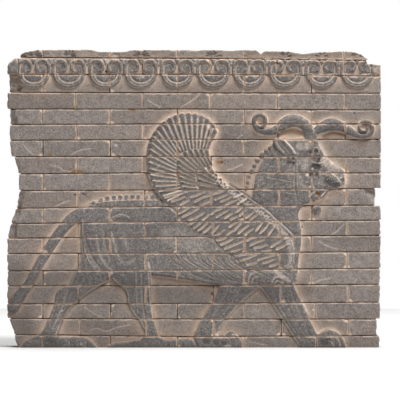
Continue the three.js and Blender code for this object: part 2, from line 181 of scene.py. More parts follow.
@dataclass
class Carving:
    """Fields over the wall's face on a fine grid: the height of the relief and the marks on it."""

    left: float = -960.0
    low: float = -24.0
    right: float = 960.0
    top: float = 1515.0
    step: float = 1.5
    seed: int = 7
    far_off: float = 9.0
    thinnest: float = 0.1
    mark_gain: float = 1.7
    octave_share: float = 0.55
    noise_gain: float = 1.6
    height: np.ndarray = field(init=False)
    figure: np.ndarray = field(init=False)
    marks: dict[str, np.ndarray] = field(init=False)

    def __post_init__(self) -> None:
        """Lays out the empty fields."""
        self.columns = int((self.right - self.left) / self.step) + 1
        self.rows = int((self.top - self.low) / self.step) + 1
        self.random = np.random.default_rng(self.seed)
        self.height = self.blank()
        self.figure = self.blank()
        # Marks: pale; a dark one for stains and painted shade; dust in grooves; a brown one for rust, clay
        # and painted shadow; and one that keeps dust, halo and painted shade away.
        self.marks = {name: self.blank() for name in ("pale", "stain_and_shade", "groove", "earth_and_shade", "clean")}

    def blank(self) -> np.ndarray:
        """An empty field."""
        return np.zeros((self.rows, self.columns))

    def heights(self) -> np.ndarray:
        """Height over the ground of every row, as a column."""
        return self.low + self.step * np.arange(self.rows)[:, None]

    def window(self, points: np.ndarray, margin: float) -> tuple[Window, np.ndarray, np.ndarray]:
        """The part of the grid around some points.

        Args:
            points: the points, x and z in the first two columns.
            margin: how far the window reaches beyond them.

        Returns:
            The window, and its x as a row and its z as a column.
        """
        x0, z0 = points[:, :2].min(0) - margin
        x1, z1 = points[:, :2].max(0) + margin
        j0 = int(np.clip((x0 - self.left) / self.step, 0, self.columns - 2))
        j1 = int(np.clip((x1 - self.left) / self.step + 2, j0 + 2, self.columns))
        i0 = int(np.clip((z0 - self.low) / self.step, 0, self.rows - 2))
        i1 = int(np.clip((z1 - self.low) / self.step + 2, i0 + 2, self.rows))
        x = self.left + self.step * np.arange(j0, j1)[None, :]
        z = self.low + self.step * np.arange(i0, i1)[:, None]
        return (slice(i0, i1), slice(j0, j1)), x, z

    def near_segment(self, x: np.ndarray, z: np.ndarray, a: np.ndarray, b: np.ndarray,
                     reach: float) -> tuple:
        """The part of a window near a segment, and how its points lie to it.

        Args:
            x: the window's x as a row.
            z: the window's z as a column.
            a: the segment's first point.
            b: the segment's second point.
            reach: how far the part goes beyond the segment.

        Returns:
            The part, the distance from the segment, and the place along it from 0 to 1.
        """
        x0, x1 = min(a[0], b[0]) - reach, max(a[0], b[0]) + reach
        z0, z1 = min(a[1], b[1]) - reach, max(a[1], b[1]) + reach
        j0, j1 = np.searchsorted(x[0], [x0, x1])
        i0, i1 = np.searchsorted(z[:, 0], [z0, z1])
        part = (slice(i0, i1), slice(j0, j1))
        px, pz = x[:, j0:j1] - a[0], z[i0:i1] - a[1]
        dx, dz = b[0] - a[0], b[1] - a[1]
        length = max(dx * dx + dz * dz, 1e-9)
        along = unit((px * dx + pz * dz) / length)
        distance = np.hypot(px - along * dx, pz - along * dz)
        return part, distance, along

    def inside(self, outline: np.ndarray, reach: float) -> tuple[Window, np.ndarray]:
        """Distance inside a closed outline.

        Args:
            outline: the outline's points.
            reach: the largest distance that is told apart.

        Returns:
            The window, and the distance from the edge, negative outside.
        """
        window, x, z = self.window(outline, reach + 2 * self.step)
        within = np.zeros((z.shape[0], x.shape[1]), bool)
        distance = np.full(within.shape, reach)
        for a, b in zip(outline, np.roll(outline, -1, 0)):
            part, away, _ = self.near_segment(x, z, a, b, reach)
            distance[part] = np.minimum(distance[part], away)
            if a[1] != b[1]:
                rows = (a[1] > z[:, 0]) != (b[1] > z[:, 0])
                crossing = a[0] + (b[0] - a[0]) * (z[rows] - a[1]) / (b[1] - a[1])
                within[rows] ^= x < crossing
        return window, np.where(within, distance, -distance)

    def slab(self, outline: np.ndarray, proud: float, edge: float, crown: float = 0.0,
             reach: float = 70.0) -> None:
        """Raises a form with a rounded edge and a gently swelling middle.

        Args:
            outline: its outline.
            proud: its height over the wall just inside its edge.
            edge: how wide the rounding of its edge is.
            crown: how much higher its middle is.
            reach: how far in the swelling goes on.
        """
        window, distance = self.inside(outline, reach)
        rim = unit(distance / edge)
        swell = unit(distance / reach)
        rise = proud * np.sqrt(1.0 - (1.0 - rim) ** 2) + crown * np.sin(swell * math.pi / 2)
        rise[distance <= 0] = 0.0
        self.height[window] = np.maximum(self.height[window], rise)
        self.figure[window] = np.maximum(self.figure[window], unit(distance / 4.0 + 0.5))

    def shares(self, stations: np.ndarray) -> tuple[Window, np.ndarray]:
        """How points lie to a line of changing width.

        Args:
            stations: x, z and half width along the line.

        Returns:
            The window, and the distance from the line as a share of the half width.
        """
        widest = float(stations[:, 2].max()) * 1.05 + self.step
        window, x, z = self.window(stations, widest)
        share = np.full((z.shape[0], x.shape[1]), self.far_off)
        for a, b in zip(stations, stations[1:]):
            part, distance, along = self.near_segment(x, z, a, b, widest)
            here = distance / np.maximum(a[2] + (b[2] - a[2]) * along, self.thinnest)
            share[part] = np.minimum(share[part], here)
        return window, share

    def band(
        self,
        stations: Line,
        amount: float,
        section: Section = Section.ROUND,
        way: Way = Way.OVER,
        ground: float = 0.0,
        steps: int = 5,
    ) -> None:
        """Raises or cuts a band along a line.

        Args:
            stations: x, z and half width along the line.
            amount: its height over the ground, or its depth.
            section: its shape across.
            way: how it meets what is carved already.
            ground: the height that it stands on.
            steps: pieces between two stations.
        """
        window, share = self.shares(curve_through(stations, steps))
        rise = section_height(share, section)
        old = self.height[window]
        if way is Way.OVER:
            self.height[window] = np.where(share < 1.0, np.maximum(old, ground + amount * rise), old)
            raised = unit((1.15 - share) * 4.0)
            self.figure[window] = np.maximum(self.figure[window], raised)
        elif way is Way.ADD:
            self.height[window] = old + amount * rise
        else:
            self.height[window] = old - amount * rise

    def cut(self, stations: Line, depth: float, steps: int = 5) -> None:
        """Cuts a soft groove along a line.

        Args:
            stations: x, z and half width along the line.
            depth: its depth.
            steps: pieces between two stations.
        """
        self.band(stations, depth, Section.SOFT, Way.CUT, steps=steps)

    def bead(self, place: Point, radius: float, amount: float, ground: float = 0.0,
             squash: float = 1.0) -> None:
        """Raises a round boss, or sinks a pit where the amount is negative.

        Args:
            place: its middle.
            radius: its radius.
            amount: its height.
            ground: the height that it stands on.
            squash: its height in the wall's plane as a share of its width.
        """
        window, x, z = self.window(np.array([place]), radius + self.step)
        share = np.hypot(x - place[0], (z - place[1]) / squash) / radius
        dome = np.sqrt(unit(1.0 - share**2))
        old = self.height[window]
        if amount < 0:
            self.height[window] = old + amount * dome
            return
        self.height[window] = np.where(share < 1.0, np.maximum(old, ground + amount * dome), old)
        self.figure[window] = np.maximum(self.figure[window], (share < 1.1).astype(float))

    def pit(self, place: Point, radius: float, depth: float, squash: float = 1.0,
            stain_and_shade: float = 0.85) -> None:
        """Sinks a hole with painted shade inside.

        Args:
            place: its middle.
            radius: its radius.
            depth: its depth.
            squash: its height in the wall's plane as a share of its width.
            stain_and_shade: how dark the painted shade inside is.
        """
        x, z = place
        self.bead(place, radius, -depth, squash=squash)
        self.mark("stain_and_shade", [(x - 1.0, z, 1.2 * radius), (x + 1.0, z, 1.2 * radius)], stain_and_shade)

    def mark(self, name: str, stations: Line, amount: float) -> None:
        """Colours a soft band without raising it.

        Args:
            name: which mark.
            stations: x, z and half width along the band.
            amount: how strong it is.
        """
        window, share = self.shares(curve_through(stations, 4))
        marks = self.marks[name]
        strength = unit(self.mark_gain * section_height(share, Section.SOFT))
        marks[window] = np.maximum(marks[window], amount * strength)

    def furrow(self, stations: Line, depth: float, stain_and_shade: float, steps: int = 5) -> None:
        """Cuts a soft groove with painted shade in it.

        Args:
            stations: x, z and half width along the line.
            depth: its depth.
            stain_and_shade: how dark the painted shade in it is.
            steps: pieces between two stations.
        """
        self.cut(stations, depth, steps)
        self.mark("stain_and_shade", stations, stain_and_shade)

    def rib(self, stations: Line, height: float, pale: float) -> None:
        """Raises a round line with a pale crest on what is carved already.

        Args:
            stations: x, z and half width along the line.
            height: its height.
            pale: how bright it is.
        """
        self.band(stations, height, Section.ROUND, Way.ADD)
        self.mark("pale", stations, pale)

    def spot(self, name: str, place: Point, radius: float, amount: float) -> None:
        """Colours a soft round spot.

        Args:
            name: which mark.
            place: its middle.
            radius: its radius.
            amount: how strong it is.
        """
        x, z = place
        self.mark(name, [(x - 0.5, z, 1.4 * radius), (x + 0.5, z, 1.4 * radius)], amount)

    def underline(self, run: Outline) -> None:
        """Keeps dust, halo and painted shade off a form's underside and draws a pale line along it: painted
        light that lifts the underside out of its shade.
        """
        self.mark("clean", [(x, z, 16) for x, z in run], 1.0)
        self.mark("pale", [(x, z, 6) for x, z in run], 0.55)

    def clear(self, name: str, place: Point, radius: float) -> None:
        """Takes a mark away again in a soft round spot.

        Args:
            name: which mark.
            place: its middle.
            radius: its radius.
        """
        window, x, z = self.window(np.array([place]), radius + self.step)
        share = np.hypot(x - place[0], z - place[1]) / radius
        self.marks[name][window] *= 1.0 - section_height(share, Section.SOFT)

    def wash(self, name: str, outline: np.ndarray, amount: float, edge: float = 10.0) -> None:
        """Colours the inside of an outline.

        Args:
            name: which mark.
            outline: the outline.
            amount: how strong it is.
            edge: over what distance it fades out.
        """
        window, distance = self.inside(outline, edge)
        marks = self.marks[name]
        marks[window] = np.maximum(marks[window], amount * unit(distance / edge))

    def noise(self, scale: float, octaves: int = 3, seed: int = 0) -> np.ndarray:
        """Smooth seeded noise over the whole grid.

        Args:
            scale: size of the largest features.
            octaves: how many finer layers are added.
            seed: which noise.

        Returns:
            A field of about -1 to 1.
        """
        random = np.random.default_rng(self.seed * 100 + seed)
        result = self.blank()
        weight = 1.0
        total = 0.0
        for _ in range(octaves):
            count_x = int((self.right - self.left) / scale) + 3
            count_z = int((self.top - self.low) / scale) + 3
            lattice = random.uniform(-1.0, 1.0, (count_z, count_x))
            gx = np.arange(self.columns) * self.step / scale
            gz = np.arange(self.rows) * self.step / scale
            result += weight * smooth_lookup(lattice, gx[None, :], gz[:, None])
            total += weight
            weight *= self.octave_share
            scale *= 0.5
        return result / total * self.noise_gain

    def sample(self, values: np.ndarray, x: np.ndarray, z: np.ndarray) -> np.ndarray:
        """Reads a field between its grid points.

        Args:
            values: the field.
            x: where to read it.
            z: where to read it.

        Returns:
            The values there.
        """
        gx = np.clip((x - self.left) / self.step, 0.0, self.columns - 1.001)
        gz = np.clip((z - self.low) / self.step, 0.0, self.rows - 1.001)
        j, i = gx.astype(int), gz.astype(int)
        u, v = gx - j, gz - i
        low = values[i, j] * (1 - u) + values[i, j + 1] * u
        high = values[i + 1, j] * (1 - u) + values[i + 1, j + 1] * u
        return low * (1 - v) + high * v

    def read(self, name: str, x: np.ndarray, z: np.ndarray) -> np.ndarray:
        """Reads a mark between its grid points.

        Args:
            name: which mark.
            x: where.
            z: where.

        Returns:
            Its strength there.
        """
        return self.sample(self.marks[name], x, z)


def smooth_lookup(lattice: np.ndarray, gx: np.ndarray, gz: np.ndarray) -> np.ndarray:
    """Reads a coarse lattice with eased steps between its points.

    Args:
        lattice: the values.
        gx: column positions, as a row.
        gz: row positions, as a column.

    Returns:
        The values at every pair of positions.
    """
    j, i = gx.astype(int), gz.astype(int)
    u, v = gx - j, gz - i
    u, v = u * u * (3 - 2 * u), v * v * (3 - 2 * v)
    low = lattice[i, j] * (1 - u) + lattice[i, j + 1] * u
    high = lattice[i + 1, j] * (1 - u) + lattice[i + 1, j + 1] * u
    return low * (1 - v) + high * v


@dataclass
class HindQuarters:
    """Tail, the two hind legs and the marks of muscle and hair on them."""

    tail_proud: float = 13.0
    far_proud: float = 12.0
    near_proud: float = 16.0
    tail_ridge: float = 2.2
    hollow_depth: float = 4.6
    fold_height: float = 3.6
    toe_depth: float = 4.0
    tail: Line = (
        (-560, 662, 40), (-600, 648, 33), (-640, 612, 29), (-688, 552, 27), (-732, 483, 26),
        (-785, 395, 23), (-825, 320, 23), (-868, 262, 30), (-905, 205, 33),
    )
    near_leg: Outline = (
        (-556, 640), (-560, 540), (-560, 460), (-583, 392), (-612, 322), (-612, 322), (-655, 302),
        (-690, 272), (-700, 215), (-735, 130), (-762, 80), (-800, 56), (-845, 34), (-866, 0), (-866, 0),
        (-482, 0), (-482, 0), (-505, 28), (-535, 48), (-590, 56), (-640, 52), (-672, 56), (-684, 66),
        (-662, 130), (-632, 180), (-585, 232), (-520, 283), (-440, 330), (-380, 430), (-372, 500),
        (-400, 570), (-450, 640),
    )
    far_leg: Outline = (
        (-408, 352), (-380, 320), (-345, 296), (-333, 262), (-330, 228), (-308, 180), (-275, 140),
        (-255, 100), (-250, 68), (-268, 42), (-330, 32), (-410, 22), (-446, 0), (-446, 0), (20, 0), (20, 0),
        (5, 28), (-30, 46), (-90, 42), (-140, 40), (-172, 60), (-188, 95), (-205, 160), (-213, 230),
        (-216, 360), (-222, 430), (-270, 462), (-330, 430),
    )
    folds: Sequence[Line] = (
        [(-550, 500, 4), (-541, 470, 6), (-525, 432, 7), (-495, 392, 5)], [(-488, 560, 7), (-485, 520, 11),
        (-470, 457, 13), (-440, 407, 12), (-410, 384, 8)], [(-412, 575, 6), (-408, 540, 9), (-390, 477, 11),
        (-360, 434, 12), (-320, 422, 11), (-292, 447, 8)], [(-405, 652, 5), (-380, 662, 7), (-352, 662, 7),
        (-320, 646, 4)], [(-448, 640, 5), (-420, 652, 6), (-390, 640, 5)], [(-352, 575, 8), (-345, 535, 12),
        (-330, 490, 9)], [(-230, 430, 4), (-226, 340, 6), (-220, 237, 6), (-205, 137, 4)], [(-292, 385, 4),
        (-290, 300, 6), (-284, 180, 4)], [(-632, 288, 5), (-650, 230, 7), (-682, 150, 6), (-708, 92, 4)],
    )
    undersides: Sequence[Outline] = (
        [(-690, 62), (-664, 128), (-634, 178), (-587, 230), (-522, 281), (-442, 328), (-415, 338)],
        [(-402, 346), (-376, 318), (-341, 294), (-329, 260), (-325, 226), (-303, 178), (-270, 138),
        (-250, 98)], [(-556, 640), (-560, 540), (-560, 460), (-583, 392), (-612, 322)],
    )
    hollows: Sequence[Line] = (
        [(-545, 560, 8), (-530, 500, 14), (-505, 440, 16), (-458, 385, 10)], [(-452, 590, 8),
        (-448, 530, 14), (-425, 460, 16), (-385, 408, 14), (-335, 385, 8)], [(-378, 560, 6),
        (-368, 500, 10), (-345, 462, 9)], [(-272, 470, 8), (-285, 440, 12), (-270, 400, 10)],
        [(-262, 380, 8), (-260, 300, 12), (-258, 220, 11), (-240, 130, 6)], [(-606, 285, 5), (-625, 220, 9),
        (-655, 150, 8), (-672, 90, 5)], [(-668, 280, 5), (-690, 200, 6), (-720, 110, 5)],
    )
    toes: Sequence[Line] = (
        [(-838, 26, 3), (-820, 14, 5), (-812, 2, 5)], [(-560, 50, 3), (-540, 32, 5), (-532, 4, 5)],
        [(-600, 52, 3), (-580, 34, 5), (-574, 4, 5)], [(-640, 48, 3), (-622, 30, 5), (-616, 4, 5)],
        [(-40, 44, 3), (-18, 28, 5), (-12, 4, 5)], [(-82, 40, 3), (-62, 26, 5), (-56, 4, 5)],
        [(-122, 38, 3), (-104, 24, 5), (-98, 4, 5)],
    )

    def carve(self, carving: Carving) -> None:
        """Carves the tail and the hind legs.

        Args:
            carving: the wall's fields.
        """
        carving.band(self.tail, self.tail_proud, Section.ROUND)
        ridge = [(x, z, 0.34 * half) for x, z, half in self.tail[1:]]
        carving.band(ridge, self.tail_ridge, Section.SOFT, Way.ADD)
        carving.slab(closed_outline(self.far_leg), self.far_proud, 9, crown=4)
        carving.slab(closed_outline(self.near_leg), self.near_proud, 10, crown=6, reach=90)
        for run in self.undersides:
            carving.underline(run)
        # hollows between the muscles, darkened with painted shade
        for hollow in self.hollows:
            carving.furrow(hollow, self.hollow_depth, 0.24)
        for fold in self.folds:
            carving.band(fold, self.fold_height, Section.SOFT, Way.ADD)
            carving.mark("pale", [(x, z, 1.15 * half) for x, z, half in fold], 0.17)
        carving.mark("pale", [(x, z, 4) for x, z, _ in self.folds[6]], 0.45)
        # painted shadow under the arcs at the top of the haunch, and a painted highlight on the upper arc's
        # crest
        carving.mark("stain_and_shade", [(-428, 630, 7), (-405, 636, 10), (-360, 644, 11), (-305, 630, 7)], 0.4)
        carving.mark("pale", [(-405, 652, 3), (-380, 664, 4), (-352, 665, 4), (-320, 650, 3)], 0.5)
        carving.mark("stain_and_shade", [(-490, 632, 6), (-470, 650, 9), (-446, 640, 7)], 0.4)
        # brown painted shadow in the corner between tail and haunch and high in the gap between the hind
        # legs
        carving.mark("earth_and_shade", [(-572, 612, 10), (-598, 592, 15), (-645, 535, 9)], 0.4)
        carving.mark("earth_and_shade", [(-480, 300, 9), (-417, 330, 13), (-365, 303, 10), (-335, 262, 6)], 0.45)
        for toe in self.toes:
            carving.cut(toe, self.toe_depth)
        carving.bead((-655, 190), 7, -3)
        carving.bead((-668, 150), 6, 3, ground=self.near_proud)


@dataclass
class ForeQuarters:
    """The two forelegs, the shoulder's curls and the paws."""

    far_proud: float = 12.0
    near_proud: float = 16.5
    muscle_depth: float = 2.6
    curl_height: float = 4.2
    toe_depth: float = 4.5
    pad_depth: float = 2.5
    far_leg: Outline = (
        (128, 312), (98, 232), (62, 180), (32, 130), (2, 62), (8, 30), (22, 0), (22, 0), (246, 0), (246, 0),
        (240, 34), (220, 60), (190, 82), (168, 76), (142, 54), (118, 66), (120, 92), (146, 132), (186, 178),
        (240, 235), (300, 282), (345, 312), (330, 360), (240, 385), (155, 365),
    )
    near_leg: Outline = (
        (322, 312), (355, 280), (392, 228), (432, 165), (468, 112), (495, 68), (540, 0), (540, 0), (762, 0),
        (762, 0), (752, 34), (732, 64), (704, 84), (675, 92), (648, 84), (622, 70), (606, 92), (560, 185),
        (530, 250), (508, 305), (498, 360), (470, 430), (385, 452), (310, 410),
    )
    curls: Sequence[Line] = (
        [(272, 322, 4), (274, 345, 6), (284, 366, 7), (302, 376, 7), (316, 372, 5)], [(290, 322, 4),
        (293, 340, 5), (304, 352, 5), (318, 350, 3)], [(388, 322, 4), (398, 342, 6), (412, 352, 7),
        (430, 350, 6), (440, 340, 4)], [(400, 318, 3), (412, 332, 5), (426, 330, 3)],
    )
    muscles: Sequence[Line] = (
        [(180, 330, 5), (160, 270, 8), (128, 210, 8), (92, 150, 6), (60, 95, 4)], [(240, 320, 5),
        (212, 262, 7), (172, 205, 7), (132, 150, 5), (104, 105, 3)], [(425, 318, 5), (450, 250, 8),
        (480, 180, 8), (520, 112, 6), (552, 66, 4)], [(380, 318, 4), (405, 258, 6), (440, 190, 6),
        (480, 122, 5), (508, 76, 3)], [(470, 330, 4), (492, 262, 6), (522, 190, 6), (560, 118, 4)],
    )
    toes: Sequence[Line] = (
        [(706, 78, 3), (728, 44, 5), (734, 4, 5)], [(672, 84, 3), (698, 48, 6), (704, 4, 6)], [(192, 74, 3),
        (212, 44, 5), (216, 4, 5)], [(160, 62, 3), (182, 38, 5), (186, 4, 5)],
    )
    lines: Sequence[tuple[Line, float]] = (
        ([(497, 325, 6), (512, 285, 7), (545, 225, 7), (580, 150, 7), (604, 95, 6), (612, 78, 5)], 0.75),
        ([(618, 72, 5), (645, 90, 6), (675, 96, 6), (706, 88, 6), (734, 66, 6), (752, 36, 5), (762, 4, 5)],
        0.7), ([(530, 470, 7), (526, 400, 8), (508, 330, 7)], 0.45), ([(318, 300, 4), (232, 230, 4),
        (160, 150, 4), (122, 92, 4)], 0.4), ([(668, 34, 3), (684, 30, 4), (700, 6, 4)], 0.6),
        ([(704, 52, 3), (722, 36, 4), (732, 6, 4)], 0.6), ([(190, 66, 4), (222, 58, 5), (240, 34, 5),
        (246, 4, 4)], 0.6), ([(160, 10, 9), (180, 6, 9)], 0.7),
    )
    undersides: Sequence[Outline] = (
        [(318, 312), (351, 280), (388, 228), (428, 165), (464, 112), (491, 68), (530, 8)], [(122, 92),
        (148, 130), (188, 176), (242, 233), (300, 280)],
    )
    pads: Sequence[tuple[Point, float]] = (
        ((652, 30), 28.0), ((60, 32), 20.0), ((110, 26), 18.0), ((150, 22), 16.0),
    )

    def carve(self, carving: Carving) -> None:
        """Carves the forelegs and the paws.

        Args:
            carving: the wall's fields.
        """
        carving.slab(closed_outline(self.far_leg), self.far_proud, 9, crown=4)
        carving.slab(closed_outline(self.near_leg), self.near_proud, 10, crown=6, reach=80)
        for run in self.undersides:
            carving.underline(run)
        for muscle in self.muscles:
            carving.cut(muscle, self.muscle_depth)
        for curl in self.curls:
            carving.band(curl, self.curl_height, Section.ROUND, Way.ADD)
            # painted shadow below each curl and a painted highlight on it
            carving.mark("stain_and_shade", [(x + 6, z - 7, half) for x, z, half in curl], 0.35)
            carving.mark("pale", curl, 0.5)
        for line, amount in self.lines:
            carving.mark("pale", line, amount)
        for toe in self.toes:
            carving.cut(toe, self.toe_depth)
        # the sunken pads, darkened with painted shade
        for (x, z), radius in self.pads:
            carving.bead((x, z), radius, -self.pad_depth)
            carving.mark("stain_and_shade", [(x - 4, z, radius), (x + 4, z, radius)], 0.6)


@dataclass
class Trunk:
    """The body between the legs, with the fringe of hair under it and the beads along the back."""

    proud: float = 14.0
    outline: Outline = (
        (-572, 668), (-560, 692), (-510, 716), (-450, 730), (-320, 738), (-120, 738), (60, 736), (280, 720),
        (455, 680), (520, 630), (538, 545), (522, 440), (484, 312), (140, 312), (45, 322), (-50, 338),
        (-220, 358), (-370, 350), (-420, 341), (-450, 326), (-500, 330), (-545, 360), (-572, 410),
        (-560, 470), (-558, 600),
    )
    beads: Outline = (
        (-502, 722), (-465, 737), (-432, 747), (-400, 750), (-368, 752), (-338, 753), (-308, 755),
        (-278, 753), (-240, 752), (-205, 752), (-180, 752),
    )
    bead_radius: float = 13.0
    bead_height: float = 6.0
    belly: float = 322.0
    fringe_left: float = -125.0
    fringe_right: float = 300.0
    fringe_pitch: float = 26.0
    back_strip: Line = ((-520, 716, 9), (-430, 733, 9), (-300, 740, 9), (-170, 740, 9))
    belly_line: Line = (
        (-205, 372, 5), (-120, 362, 7), (-20, 345, 7), (80, 328, 6), (150, 322, 4),
    )

    def carve(self, carving: Carving) -> None:
        """Carves the trunk, the beads and the hair.

        Args:
            carving: the wall's fields.
        """
        carving.slab(closed_outline(self.outline), self.proud, 26, crown=3, reach=110)
        for x, z in self.beads:
            carving.bead((x, z), self.bead_radius, self.bead_height, ground=1.0)
            ring = [(x + 12 * math.cos(a), z + 12 * math.sin(a), 3.0) for a in np.linspace(0.3, 5.6, 8)]
            carving.mark("pale", ring, 0.32)
        carving.mark("pale", [(-130, 560, 70), (-60, 545, 90), (30, 500, 70)], 0.16)
        carving.band(self.back_strip, 3.5, Section.FLAT, Way.ADD)
        self.carve_fringe(carving)
        carving.band(self.belly_line, 3.5, Section.SOFT, Way.ADD)
        # brown painted shadow on the wall under the belly
        carving.mark("earth_and_shade", [(x, z - 22, 1.6 * half) for x, z, half in self.belly_line], 0.4)

    def carve_fringe(self, carving: Carving) -> None:
        """Carves the slanting locks over the belly.

        Args:
            carving: the wall's fields.
        """
        x = self.fringe_left
        while x < self.fringe_right:
            start = 468 - 0.10 * max(0.0, x)
            drop = 74 + 14 * carving.random.uniform(-1, 1)
            lean = 78 + 14 * carving.random.uniform(-1, 1)
            lock = [(x, start, 4), (x + lean * 0.22, start - drop * 0.45, 8), (x + lean, start - drop, 4)]
            carving.furrow(lock, 3.6, carving.random.uniform(0.15, 0.5))
            crest = [(px + 9, pz + 4, 0.45 * half) for px, pz, half in lock]
            carving.mark("pale", crest, carving.random.uniform(0.1, 0.5))
            low = [(x + 50, start - drop - 16, 3), (x + 92, start - drop - 44, 6),
                   (x + 160, start - drop - 60, 3)]
            if low[-1][1] > self.belly:
                carving.furrow(low, 3.0, carving.random.uniform(0.1, 0.35))
            x += self.fringe_pitch * carving.random.uniform(0.85, 1.15)


@dataclass
class Feathers:
    """A fan of feathers that spring from one curve and end on another."""

    count: int
    rims: Outline
    roots: Outline
    root_half: float
    tip_half: float
    level: float
    proud: float
    bend: float = 0.0
    line_pale: float = 0.95
    # strength of the painted shade on the feathers' bodies
    shaft_shade: float = 0.46
    quill_depth: float = 0.9

    def carve(self, carving: Carving) -> None:
        """Raises the feathers side by side.

        Args:
            carving: the wall's fields.
        """
        rims = evenly(curve_through(self.rims, 8), 2 * self.count - 1)
        roots = evenly(curve_through(self.roots, 8), 2 * self.count - 1)
        for root, tip in zip(roots[1::2], rims[1::2]):
            inner, outer = root + 0.04 * (tip - root), root + 0.88 * (tip - root)
            middle = (inner + outer) / 2
            # Pale dust in the gap between two feathers; where the feathers lie level the line is wider,
            # lower and stronger, painted light on the upper rim of the feather beneath.
            level = abs(tip[0] - root[0]) / math.hypot(*(tip - root))
            drop = (0.0, -2.2 * level)
            line = [(*(inner + drop), 3.2 + level), (*(middle + drop), 4.4 + level),
                    (*(outer + drop), 5.4 + level)]
            carving.mark("pale", line, self.line_pale * carving.random.uniform(0.75, 1.0))
            carving.mark("groove", [(px, pz, 0.6 * half) for px, pz, half in line], 0.7 * level)
        for root, tip in zip(roots[::2], rims[::2]):
            half = carving.random.uniform(0.94, 1.04)
            along = tip - root
            length = math.hypot(*along)
            side = np.array([-along[1], along[0]]) / length * self.bend
            middle = root + along * 0.55 + side
            end = tip - along / length * self.tip_half * 0.9
            stations = [
                (*root, self.root_half), (*middle, (self.root_half + self.tip_half) / 2 * half),
                (*end, self.tip_half * half),
            ]
            carving.band(stations, self.proud, Section.FLAT, ground=self.level, steps=3)
            quill = [(x, z, 1.8) for x, z, _ in stations]
            carving.cut(quill, self.quill_depth, steps=3)
            # Painted shade on each feather's body, deeper where the feather lies level, and more at its tip.
            level = abs(along[0]) / length
            painted_shade = self.shaft_shade * carving.random.uniform(0.7, 1.2) * (1.0 + 0.35 * level)
            carving.mark("stain_and_shade", [(x, z, 0.72 * wide) for x, z, wide in stations], painted_shade)
            tip = [(*(end - along / length * 6), 0.8 * self.tip_half), (*end, 0.8 * self.tip_half)]
            carving.mark("stain_and_shade", tip, (0.5 + 0.9 * level) * painted_shade)


def evenly(line: np.ndarray, count: int) -> np.ndarray:
    """Points at even distances along a line.

    Args:
        line: the line's points.
        count: how many points are wanted, both ends included.

    Returns:
        The points.
    """
    steps = np.hypot(*(line[1:] - line[:-1]).T)
    travelled = np.concatenate([[0.0], np.cumsum(steps)])
    wanted = np.linspace(0.0, travelled[-1], count)
    return np.stack([np.interp(wanted, travelled, line[:, k]) for k in (0, 1)], axis=1)


